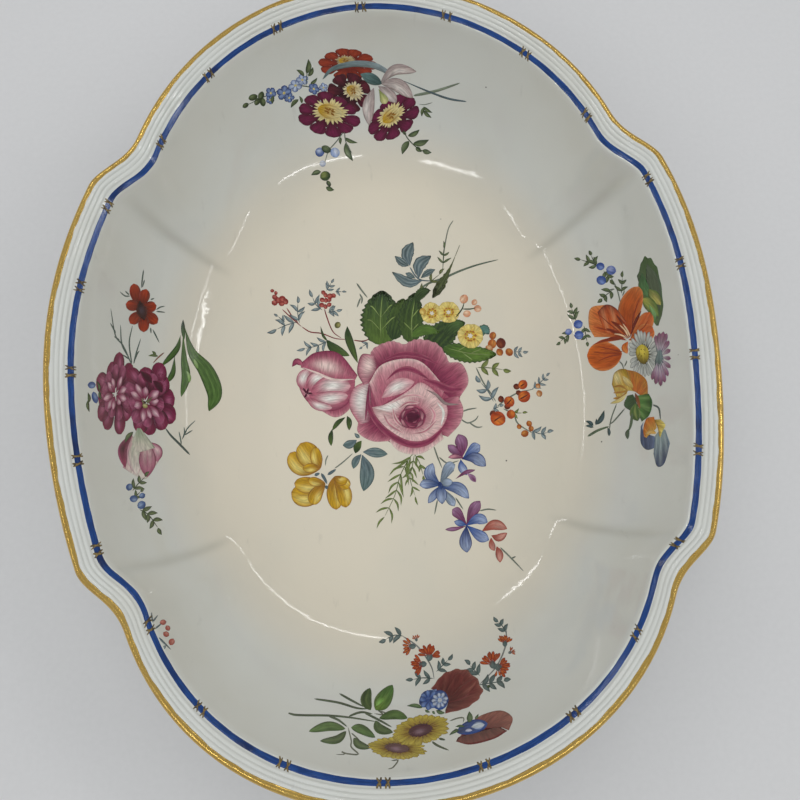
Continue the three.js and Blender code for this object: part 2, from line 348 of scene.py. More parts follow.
# Heights of the bumps
SWELL_HEIGHT = 0.35 * MM
RIPPLE_HEIGHT = 0.08 * MM
SCRATCH_HEIGHT = 0.002 * MM
GRIT_HEIGHT = 0.06 * MM
GOLD_HEIGHT = 0.008 * MM
BLUE_HEIGHT = 0.05 * MM
WORN_HEIGHT = 0.03 * MM
ENAMEL_HEIGHT = 0.03 * MM

# Where the glaze turns from warm to cool up the wall, which is partly the glaze's own tone and
# partly painted light, where it stops on the foot ring, and how far that line wanders
WARM_TO_COOL = (11 * MM, 34 * MM)
GLAZE_LINE = (1.4 * MM, 1.9 * MM)
GLAZE_WANDER = 1.2 * MM
GLAZE_IOR = 1.5

class Value:
    """A number in a material. Arithmetic on it adds Math nodes."""

    def __init__(self, recipe, socket):
        self.recipe = recipe
        self.socket = socket

    def math(self, operation, *others):
        node = self.recipe.node("ShaderNodeMath", {"operation": operation}, [self, *others])
        return Value(self.recipe, node.outputs[0])

    def __add__(self, other):
        return self.math("ADD", other)

    def __mul__(self, other):
        return self.math("MULTIPLY", other)

    def __rsub__(self, other):
        return self.math("MULTIPLY", -1).math("ADD", other)

    __radd__ = __add__
    __rmul__ = __mul__

    def between(self, low, high):
        """0 below low, 1 above high, and a smooth rise between them."""
        node = self.recipe.node("ShaderNodeMapRange",
            {"interpolation_type": "SMOOTHSTEP", "clamp": True},
            {"Value": self, "From Min": low, "From Max": high})
        return Value(self.recipe, node.outputs["Result"])


class Recipe:
    """The nodes of one material."""

    def __init__(self, name):
        self.material = bpy.data.materials.new(name)
        self.material.use_nodes = True
        self.tree = self.material.node_tree
        self.shader = self.tree.nodes["Principled BSDF"]

    def node(self, kind, settings=None, inputs=()):
        """Adds a node, sets its settings and then its sockets, from values, nodes' sockets or
        Value objects."""
        node = self.tree.nodes.new(kind)
        for name, value in (settings or {}).items():
            setattr(node, name, value)
        pairs = inputs.items() if isinstance(inputs, dict) else enumerate(inputs)
        for key, value in pairs:
            self.feed(node.inputs[key], value)
        return node

    def feed(self, socket, value):
        if isinstance(value, Value):
            value = value.socket
        if isinstance(value, bpy.types.NodeSocket):
            self.tree.links.new(value, socket)
        elif isinstance(value, tuple) and socket.type == "RGBA":
            socket.default_value = (*value[:3], 1)
        else:
            socket.default_value = value

    def place(self):
        """Object coordinates, in metres."""
        return self.node("ShaderNodeTexCoord").outputs["Object"]

    def height(self, place):
        return Value(self, self.node("ShaderNodeSeparateXYZ", {}, [place]).outputs["Z"])

    def attribute(self, name, output="Vector"):
        return self.node("ShaderNodeAttribute", {"attribute_name": name}).outputs[output]

    def scaled(self, vector, scale, location=(0, 0, 0)):
        node = self.node("ShaderNodeMapping", {}, {"Vector": vector, "Scale": scale,
            "Location": location})
        return node.outputs["Vector"]

    def noise(self, vector, scale, detail=2.0, roughness=0.5):
        node = self.node("ShaderNodeTexNoise", {}, {"Vector": vector, "Scale": scale,
            "Detail": detail, "Roughness": roughness})
        return Value(self, node.outputs["Fac"])

    def dots(self, vector, scale, radius, share):
        """Round dots at random places: one in each cell, kept for a share of the cells."""
        node = self.node("ShaderNodeTexVoronoi", {}, {"Vector": vector, "Scale": scale})
        near = 1 - Value(self, node.outputs["Distance"]).between(radius * 0.6, radius)
        pick = self.node("ShaderNodeSeparateColor", {}, [node.outputs["Color"]])
        kept = Value(self, pick.outputs[0]).between(1 - share, 1 - share + 0.001)
        return near * kept

    def mix(self, factor, first, second, blend="MIX"):
        node = self.node("ShaderNodeMix", {"data_type": "RGBA", "blend_type": blend},
            dict(zip(MIX_INPUTS, (factor, first, second))))
        return node.outputs[MIX_OUTPUT]

    def bump(self, height, distance, strength=1.0, under=None):
        node = self.node("ShaderNodeBump", {}, {"Height": height, "Distance": distance,
            "Strength": strength})
        if under is not None:
            self.feed(node.inputs["Normal"], under)
        return node.outputs["Normal"]

    def finish(self, **sockets):
        for name, value in sockets.items():
            socket = name.replace("_", " ").title().replace("Ior", "IOR")
            self.feed(self.shader.inputs[socket], value)
        return self.material


def glaze_waviness(recipe, place):
    """Long gentle swells of the fired glaze, with faint turning marks and fine scratches."""
    swell = recipe.noise(place, 38, 1.0)
    ripple = recipe.noise(place, 150, 2.0)
    scratch = recipe.noise(recipe.scaled(place, (900, 60, 300)), 1.0, 1.0).between(0.66, 0.70)
    soft = recipe.bump(swell, SWELL_HEIGHT)
    rippled = recipe.bump(ripple, RIPPLE_HEIGHT, 1.0, soft)
    return recipe.bump(scratch, SCRATCH_HEIGHT, 0.5, rippled)


def glaze_colour(recipe, place, looks):
    """Cream glaze that is warmer where it has pooled on the floor and cooler up the wall, with
    a few dark specks and grey rubbed marks."""
    climb = recipe.height(place).between(*WARM_TO_COOL)
    cloud = recipe.noise(place, 22, 3.0)
    base = recipe.mix(climb, tuple(looks.floor_glaze), tuple(looks.wall_glaze))
    base = recipe.mix(cloud.between(0.35, 0.75) * 0.35, base, tuple(looks.pooled_glaze))
    rubbed = recipe.noise(recipe.scaled(place, (260, 90, 40)), 1.0, 3.0).between(0.66, 0.80)
    base = recipe.mix(rubbed * 0.10, base, srgb("6f6d66"))
    # Painted shade: the glaze is greyed along each crease, by the crease depth stored as "fold".
    crease_shade = Value(recipe, recipe.attribute("fold", "Fac")) * 0.32
    base = recipe.mix(crease_shade, base, srgb("a3a294"))
    speck = recipe.dots(place, 95, 0.045, 0.07)
    return recipe.mix(speck * 0.85, base, srgb("2a241d"))


def make_glaze(looks):
    """Glossy cream glaze of the body."""
    recipe = Recipe("cream_glaze")
    place = recipe.place()
    return recipe.finish(base_color=glaze_colour(recipe, place, looks),
        roughness=0.07 + recipe.noise(place, 60, 2.0).between(0.4, 0.8) * 0.05,
        normal=glaze_waviness(recipe, place), ior=GLAZE_IOR)


def make_foot(looks):
    """Glaze that stops short of the ground edge of the ring, where bare paste shows."""
    recipe = Recipe("foot_glaze_and_paste")
    place = recipe.place()
    height = recipe.height(place)
    wander = recipe.noise(place, 90, 2.0) * GLAZE_WANDER
    bare = 1 - (height + wander).between(*GLAZE_LINE)
    grit = recipe.noise(place, 900, 3.0)
    paste = recipe.mix(grit, srgb("c9bda6"), srgb("e4dccb"))
    stain = recipe.noise(place, 45, 3.0).between(0.5, 0.8) * 0.4
    paste = recipe.mix(stain, paste, srgb("9a8f7c"))
    colour = recipe.mix(bare, glaze_colour(recipe, place, looks), paste)
    roughness = 0.08 + bare * 0.6
    normal = recipe.bump(grit * bare, GRIT_HEIGHT, 1.0, glaze_waviness(recipe, place))
    return recipe.finish(base_color=colour, roughness=roughness, normal=normal, ior=GLAZE_IOR)


def make_gold(looks):
    """Burnished gold leaf colour, rubbed thin and brown in places."""
    recipe = Recipe("burnished_gold")
    brush = recipe.attribute("brush")
    thin = recipe.noise(brush, 260, 4.0, 0.65).between(0.52, 0.72)
    fine = recipe.noise(recipe.scaled(brush, (300, 300, 1800)), 1.0, 2.0)
    warm = recipe.mix(fine, tuple(looks.gold), tuple(looks.gold_deep))
    return recipe.finish(base_color=recipe.mix(thin * 0.4, warm, srgb("6b4a1f")),
        metallic=0.86 - thin * 0.2, roughness=0.2 + fine * 0.08 + thin * 0.12,
        normal=recipe.bump(fine, GOLD_HEIGHT))


def make_blue(looks):
    """Blue enamel laid with a loaded brush: long streaks along the band, darker where strokes
    overlap."""
    recipe = Recipe("brushed_blue_enamel")
    brush = recipe.attribute("brush")
    streak = recipe.noise(recipe.scaled(brush, (160, 160, 2600)), 1.0, 3.0, 0.6)
    overlap = recipe.noise(brush, 75, 2.0).between(0.5, 0.78)
    colour = recipe.mix(streak.between(0.3, 0.7), tuple(looks.blue), tuple(looks.blue_light))
    colour = recipe.mix(overlap * 0.85, colour, tuple(looks.blue_deep))
    return recipe.finish(base_color=colour, roughness=0.10 + streak * 0.06,
        normal=recipe.bump(streak, BLUE_HEIGHT), ior=GLAZE_IOR)


def make_tie_gold():
    """Dull, thin gold strokes that have rubbed to grey brown over the blue."""
    recipe = Recipe("rubbed_gold")
    brush = recipe.attribute("brush")
    worn = recipe.noise(brush, 700, 3.0, 0.6).between(0.4, 0.66)
    return recipe.finish(base_color=recipe.mix(worn, srgb("9a8454"), srgb("4a4238")),
        metallic=0.55 - worn * 0.35, roughness=0.34 + worn * 0.2,
        normal=recipe.bump(worn, WORN_HEIGHT))


# The camera: where it stands over the bowl, and its turns about its own axes, in radians
CAMERA_PLACE = (-9.99 * MM, -90.04 * MM, 378.6 * MM)
CAMERA_TURNS = (0.23098, -0.04253, -0.05475)
CAMERA_LENS_MM = 36.905
SENSOR_MM = 36.0
CLIP_START = 10 * MM


def camera_matrix():
    """The camera's place and turns: about X, then Y, then Z."""
    tilt, lean, roll = (Matrix.Rotation(turn, 4, axis) for turn, axis in zip(CAMERA_TURNS, "XYZ"))
    return Matrix.Translation(CAMERA_PLACE) @ (tilt @ lean @ roll)


# Enamel painting

PICTURE_SIZE = 800
FOCAL_PIXELS = CAMERA_LENS_MM / SENSOR_MM * PICTURE_SIZE

# A daub's height over the glaze, the step from layer to layer on the wall and on the flat floor,
# and how deep its underside lies in the glaze
ENAMEL_LIFT = 0.04 * MM
LAYER_STEP = 0.009 * MM
FLOOR_LAYER_STEP = 0.003 * MM
ENAMEL_SINK = 0.05 * MM

# Search for where a way meets the inside: its lowest height, how far past the wall it starts, and
# how often its stretch is halved. Then the step over which the slope is measured.
CAST_LOW = 5 * MM
CAST_MARGIN = 1 * MM
CAST_HALVINGS = 18
CAST_SLOPE_STEP = 0.2 * MM


def mixed(first, second, share):
    """Straight blend of two colours, or arrays of them, by an array of shares."""
    first, second = (np.asarray(srgb(colour) if isinstance(colour, str) else colour, float)
                     for colour in (first, second))
    return first + (second - first) * np.clip(share, 0, 1)[..., None]


def curve_through(points, t):
    """Smooth curve through points, given as x, y, x, y and so on: a cubic between each two, with
    its slopes from their neighbours."""
    p = np.reshape(points, (-1, 2)).astype(float)
    p = np.concatenate([[2 * p[0] - p[1]], p, [2 * p[-1] - p[-2]]])
    s = np.clip(t, 0, 1) * (len(p) - 3)
    i = np.minimum(s.astype(int), len(p) - 4)
    f = (s - i)[:, None]
    a, b, c, d = p[i], p[i + 1], p[i + 2], p[i + 3]
    square = 2 * a - 5 * b + 4 * c - d
    return b + 0.5 * (f * (c - a) + f ** 2 * square + f ** 3 * (3 * b - a - 3 * c + d))


def with_settings(paint, *usual):
    """A paint's code and its settings, with the usual ones for those that are left out."""
    paint = (paint,) if isinstance(paint, str) else paint
    return (*paint, *usual[len(paint) - 1:])


def painted(u, v, base, tip, edge=None, rim=None, stripe=None, glow=None):
    """Colours over a daub, u across it from -1 to 1 and v along it from 0 to 1. Base blends to
    tip. Edge, with a power, takes over towards both sides, and rim towards the far end. Cosine
    stripes, of a number and a strength, run lengthwise. A soft round glow goes on top, with its
    place across and along and its half-width and half-length."""
    colour = mixed(base, tip, smoothstep(v))
    for paint, usual, share in ((edge, 3, np.abs(u)), (rim, 6, v)):
        if paint:
            code, power = with_settings(paint, usual)
            colour = mixed(colour, code, share ** power)
    if stripe:
        code, count, strength = with_settings(stripe, 4, 0.5)
        wave = 0.5 + 0.5 * np.cos(math.pi * count * u)
        colour = mixed(colour, code, strength * wave ** 2 * np.sin(math.pi * v) ** 0.5)
    if glow:
        code, x, y, wide, long = with_settings(glow, 0, 0.5, 0.5, 0.3)
        colour = mixed(colour, code, np.exp(-((u - x) / wide) ** 2 - ((v - y) / long) ** 2))
    return colour


class Drawing:
    """The enamel daubs of one spray. They are drawn in millimetres right of and below the spray's
    middle, as the camera sees it, and then laid on the inside of the bowl."""

    def __init__(self, form, middle, seed):
        self.form = form
        self.middle = middle
        self.chance = np.random.default_rng(seed)
        self.daubs = []
        self.layer = 0

    def raise_layer(self):
        self.layer += 1

    def daub(self, pen, spine, width, belly=0.5, roundness=0.8, notch=0.0, ruffle=0.0, ruffles=3,
            spacing=0.75, **colours):
        """One stroke of enamel. A grid runs along a smooth curve, the spine, and its half-width
        is width times a power of the sine of v, widest where v is belly. The far end may be
        notched, and the outline ruffled by a cosine."""
        rough = curve_through(spine, np.linspace(0, 1, 12))
        length = np.linalg.norm(np.diff(rough, axis=0), axis=1).sum()
        rows = int(np.clip(round(length * pen.size / spacing), 5, 40))
        columns = int(np.clip(round(2 * width * pen.size / spacing), 2, 30))
        if ruffle:
            rows, columns = max(rows, ruffles * 5), max(columns, ruffles * 3)
        v = np.linspace(0, 1, rows + 1)
        u = np.linspace(-1, 1, columns + 1)
        centre = curve_through(spine, v)
        along = np.gradient(centre, axis=0)
        along /= np.linalg.norm(along, axis=1)[:, None] + 1e-12
        beside = np.stack([-along[:, 1], along[:, 0]], -1)
        power = math.log(0.5) / math.log(belly)
        swell = np.maximum(np.sin(math.pi * v ** power), 0) ** roundness
        half = width * np.maximum(swell, 0.05)
        half = half * (1 + ruffle * np.cos(2 * math.pi * ruffles * v))
        pull = v[:, None] ** 4 * (ruffle * np.cos(math.pi * ruffles * u) * 0.6
                                  - notch * (1 - np.abs(u)) ** 1.5)
        flat = (centre[:, None] + beside[:, None] * (half[:, None] * u)[..., None]
                + along[:, None] * (pull * length)[..., None])
        self.keep(pen, flat, u, v, half[:, None], length, colours)

    def sheet(self, pen, inner, outer, spacing=0.9, ruffle=0.0, ruffles=4, **colours):
        """A broad stroke between two smooth curves: v runs straight from the inner one to the
        outer one, and u along them. A cosine may ruffle the outer edge."""
        t = np.linspace(0, 1, 24)
        inner, outer = np.reshape(inner, (-1, 2)), np.reshape(outer, (-1, 2))
        first, last = curve_through(inner, t), curve_through(outer, t)
        way, along = last - first, np.gradient(first + last, axis=0)
        if (way[:, 0] * along[:, 1] - way[:, 1] * along[:, 0]).sum() < 0:
            inner, outer = inner[::-1], outer[::-1]
        long = max(np.linalg.norm(np.diff(c, axis=0), axis=1).sum() for c in (first, last))
        deep = np.linalg.norm(way, axis=1).max()
        columns = int(np.clip(round(long * pen.size / spacing), 6, 44))
        rows = int(np.clip(round(deep * pen.size / spacing), 3, 30))
        u, v = np.linspace(-1, 1, columns + 1), np.linspace(0, 1, rows + 1)
        first, last = curve_through(inner, (u + 1) / 2), curve_through(outer, (u + 1) / 2)
        reach = v[:, None] * (1 + ruffle * np.cos(2 * math.pi * ruffles * u))
        flat = first + (last - first) * reach[..., None]
        self.keep(pen, flat, u, v, long / 2, deep, colours)

    def keep(self, pen, flat, u, v, half, length, colours):
        """Keeps a daub: its grid of points, its colours, its brush pattern, which is measured
        across and along it from a random start, and its layer."""
        across, down = np.meshgrid(u, v)
        brush = np.stack([across * half, down * length, 0 * across + 9 * self.chance.random()], -1)
        self.daubs.append((pen.place(flat), painted(across, down, **colours), brush * pen.size,
            self.layer))

    def stack(self):
        """How many daubs lie under each one: one more than under the highest of those on lower
        layers whose boxes overlap its own."""
        boxes = np.array([[*grid.min((0, 1)), *grid.max((0, 1))] for grid, *_ in self.daubs])
        layers = np.array([daub[3] for daub in self.daubs])
        depth = np.zeros(len(layers), int)
        for i, (left, top, right, bottom) in enumerate(boxes):
            under = (layers[:i] < layers[i]) & (boxes[:i, 0] < right) & (boxes[:i, 2] > left)
            under &= (boxes[:i, 1] < bottom) & (boxes[:i, 3] > top)
            depth[i] = 1 + depth[:i][under].max(initial=-1)
        return depth

    def lay(self):
        """Casts every grid point along the camera's view of it on to the inside of the bowl, and
        closes each daub with its underside in the glaze. Layers are thinner on the flat floor."""
        flat = np.concatenate([d[0].reshape(-1, 2) for d in self.daubs])
        lift = np.repeat(self.stack(), [d[0][..., 0].size for d in self.daubs])
        place, normal = cast_inside(self.form, self.middle, flat)
        climb = smoothstep((place[:, 2] - self.form.floor_top) / FLOOR_DISH)
        step = FLOOR_LAYER_STEP + (LAYER_STEP - FLOOR_LAYER_STEP) * climb
        top = place + normal * (ENAMEL_LIFT + lift * step)[:, None]
        points = np.concatenate([top, place - normal * ENAMEL_SINK])
        tops, others, start = [], [], 0
        for grid, *_ in self.daubs:
            rows, columns = grid.shape[:2]
            index = start + np.arange(rows * columns).reshape(rows, columns)
            quads = np.stack([index[:-1, :-1], index[:-1, 1:], index[1:, 1:], index[1:, :-1]], -1)
            tops.append(quads.reshape(-1, 4)[:, ::-1])
            others.append(quads.reshape(-1, 4) + len(top))
            ring = np.concatenate([index[0], index[1:, -1], index[-1, -2::-1], index[-2:0:-1, 0]])
            beside = np.roll(ring, -1)
            others.append(np.stack([ring, beside, beside + len(top), ring + len(top)], -1))
            start += rows * columns
        return points, np.concatenate(tops), np.concatenate(others)

    def piece(self, name, material):
        """Makes the spray's mesh, with its colours and brush directions."""
        points, tops, others = self.lay()
        mesh = new_mesh(name, points, [tops, others], [material])
        flat = np.concatenate([np.zeros(len(tops), bool), np.ones(len(others), bool)])
        sharp = mesh.attributes.new("sharp_face", "BOOLEAN", "FACE")
        sharp.data.foreach_set("value", flat)
        colour = np.concatenate([d[1].reshape(-1, 3) for d in self.daubs])
        colour = np.tile(np.c_[np.clip(colour, 0, 1), np.ones(len(colour))], (2, 1))
        attribute = mesh.attributes.new("paint", "FLOAT_COLOR", "POINT")
        attribute.data.foreach_set("color", colour.astype(np.float32).ravel())
        brush = np.concatenate([d[2].reshape(-1, 3) for d in self.daubs]) * MM
        set_vectors(mesh, "brush", np.tile(brush, (2, 1)))
        return add_piece(name, mesh)


class Pen:
    """Where a motif is drawn: its middle, its size, its turn in degrees, and how much it is
    foreshortened along its own upright."""

    def __init__(self, at=(0, 0), size=1.0, turn=0.0, squash=1.0):
        self.at = np.asarray(at, float)
        self.size = size
        c, s = math.cos(math.radians(turn)), math.sin(math.radians(turn))
        self.matrix = size * np.array([[c, -s], [s, c]]) @ np.diag([1, squash])

    def place(self, points):
        return points @ self.matrix.T + self.at


def view_of_pixel(pixel):
    """Direction of a picture's pixel from the camera: a pinhole at the lens's own distance."""
    turn = np.array(camera_matrix().to_3x3())
    x = (pixel[..., 0] - PICTURE_SIZE / 2) / FOCAL_PIXELS
    y = (PICTURE_SIZE / 2 - pixel[..., 1]) / FOCAL_PIXELS
    return np.stack([x, y, -np.ones_like(x)], -1) @ turn.T


def meet_inside(form, ways):
    """Points where ways from the camera meet the inside of the bowl, halving the stretch between
    the lip and the floor."""
    start = np.array(CAMERA_PLACE)
    low, high = (np.full(len(ways), z) for z in (CAST_LOW, form.top - LIP_DROP + CAST_MARGIN))
    for _ in range(CAST_HALVINGS):
        middle = (low + high) / 2
        place = start + ways * ((middle - start[2]) / ways[:, 2])[:, None]
        above = middle > form.height_inside(place[:, 0], place[:, 1])
        low, high = np.where(above, low, middle), np.where(above, middle, high)
    return place


def cast_inside(form, middle, flat):
    """Places on the inside of the bowl, and the directions straight off it, for points in
    millimetres right of and below a pixel of the picture."""
    centre = np.array([middle], float)
    anchor = meet_inside(form, view_of_pixel(centre))[0]
    axis = np.array(camera_matrix().to_3x3())[:, 2]
    depth = -(anchor - np.array(CAMERA_PLACE)) @ axis
    pixels = centre + flat * MM * FOCAL_PIXELS / depth
    place = meet_inside(form, view_of_pixel(pixels))
    step = CAST_SLOPE_STEP
    x, y = place[:, 0], place[:, 1]
    slope_x = (form.height_inside(x + step, y) - form.height_inside(x - step, y)) / (2 * step)
    slope_y = (form.height_inside(x, y + step) - form.height_inside(x, y - step)) / (2 * step)
    normal = np.stack([-slope_x, -slope_y, np.ones_like(x)], -1)
    return place, normal / np.linalg.norm(normal, axis=1)[:, None]


def make_enamel():
    """Overglaze enamel: each daub's own colours, with fine brush streaks along it."""
    recipe = Recipe("painted_enamel")
    paint = recipe.attribute("paint", "Color")
    brush = recipe.attribute("brush")
    streak = recipe.noise(recipe.scaled(brush, (1500, 240, 1000)), 1.0, 3.0, 0.6)
    streak = streak.between(0.25, 0.75)
    grain = recipe.noise(recipe.place(), 2600, 1.0)
    tone = recipe.mix(streak, (0.66, 0.66, 0.66), (1.24, 1.24, 1.24))
    colour = recipe.mix(1.0, paint, tone, "MULTIPLY")
    return recipe.finish(base_color=colour, roughness=0.13 + grain * 0.14,
        normal=recipe.bump(streak, ENAMEL_HEIGHT), ior=GLAZE_IOR)


# Paints, as sRGB codes

WHITE = "e4e2da"
MOSS = "2b3e1e"
LEAF = "4c6029"
LIME = "8a9450"
SAGE = "6f7d55"
SLATE = "52646a"
MIST = "98a5a5"
STEM = "6d7568"
MAROON = "4a0822"
MAROON_LIGHT = "701842"
MAROON_DARK = "340814"
BRICK = "742014"
BRICK_LIGHT = "a43c22"
YELLOW = "c89e14"
CREAM = "e0cd74"
OCHRE = "96661a"
COBALT = "2d4c8c"
SKY = "869cc6"
NAVY = "1d2f68"
PALE_PINK = "d3c0bb"
PINK_GREY = "8f7a78"
WINE = "4c0e28"
RUBY = "7c2646"
ROSE = "a8566a"
PINK = "c68a92"
BLUSH = "e4cac2"


def stem(art, pen, points, start, end, colour=STEM, dark=None):
    """A thin stroke that tapers from one half-width to the other."""
    art.daub(pen, points, max(start, end), belly=0.35 if start > end else 0.65, roundness=0.35,
        spacing=0.9, base=colour, tip=dark or colour)


def leaflet(art, pen, base, tip, width, bend=0.0, dark=MOSS, light=SAGE):
    """A small leaf: one daub with a lighter middle, bent to one side."""
    base, tip = np.asarray(base, float), np.asarray(tip, float)
    way = tip - base
    middle = (base + tip) / 2 + bend * np.array([-way[1], way[0]])
    art.daub(pen, [base, middle, tip], width, belly=0.42, roundness=0.9, base=dark, tip=dark,
        edge=dark, glow=(light, 0.3, 0.45, 0.7, 0.35), spacing=0.6)


def petal_ring(art, pen, petals, inner, outer, width, jitter=0.06, start=0.0, sweep=360.0, **daub):
    """Petals in a ring: each a daub from the inner radius to the outer one."""
    art.raise_layer()
    for i in range(petals):
        turn = math.radians(start + sweep * i / petals)
        turn += jitter * art.chance.uniform(-1, 1)
        reach = outer * (1 + jitter * art.chance.uniform(-1, 1))
        way = np.array([math.cos(turn), math.sin(turn)])
        art.daub(pen, [way * inner, way * (inner + reach) / 2, way * reach], width, **daub)


def auricula(art, at, radius, turn, squash, petals, dark, light, heart=0.55, shift=(0, 0),
        ray="e0d49c"):
    """A primula seen aslant: round petals with dark gaps, a rayed heart and a brown eye."""
    pen = Pen(at, 1.0, turn, squash)
    width = radius * math.sin(math.pi / petals) * 0.86
    art.raise_layer()
    art.daub(pen, (-radius * 0.6, 0, 0, 0, radius * 0.6, 0), radius * 0.6, roundness=0.5, base=dark,
        tip=dark)
    petal_ring(art, pen, petals, radius * 0.2, radius, width, belly=0.76, roundness=0.5, base=dark,
        tip=light, edge=(dark, 5), rim=(dark, 12), stripe=(dark, 3, 0.6), glow=(light, 0, 0.72,
        0.45, 0.2))
    centre = Pen(np.asarray(at, float) + shift, heart, turn, squash)
    petal_ring(art, centre, 26, 0, radius, radius * 0.12, jitter=0.1, belly=0.5, base=YELLOW,
        tip=ray, spacing=0.6)
    art.raise_layer()
    art.daub(centre, (-radius * 0.68, 0, radius * 0.68, 0), radius * 0.6, roundness=0.55,
        base=YELLOW, tip=ray, stripe=(OCHRE, 5, 0.6))
    petal_ring(art, centre, 7, radius * 0.06, radius * 0.34, radius * 0.07, jitter=0.3,
        base=OCHRE, tip=OCHRE, spacing=0.5)


def floret(art, at, radius, dark=NAVY, middle=COBALT, light=SKY,
        petals=5, turn=0.0, squash=0.9, eye=CREAM):
    """A small flower of a few round petals with a pale eye."""
    pen = Pen(at, 1.0, turn, squash)
    petal_ring(art, pen, petals, radius * 0.1, radius, radius * 0.42, belly=0.62, roundness=0.5,
        spacing=0.55, base=light, tip=middle, edge=dark, rim=(dark, 8.0), glow=(light, 0.2, 0.55,
        0.4, 0.25))
    art.raise_layer()
    art.daub(pen, (-radius * 0.2, 0, radius * 0.2, 0), radius * 0.17, roundness=0.5, spacing=0.4,
        base=eye, tip=eye)


def bud(art, at, radius, turn=0.0, long=1.3, dark=MOSS, light=SAGE):
    """A berry or bud: one oval daub with a soft light to one side."""
    pen = Pen(at, 1.0, turn)
    art.daub(pen, (-radius * long, 0, 0, 0, radius * long, 0), radius, roundness=0.5, spacing=0.45,
        base=dark, tip=dark, glow=(light, -0.3, 0.4, 0.55, 0.3))


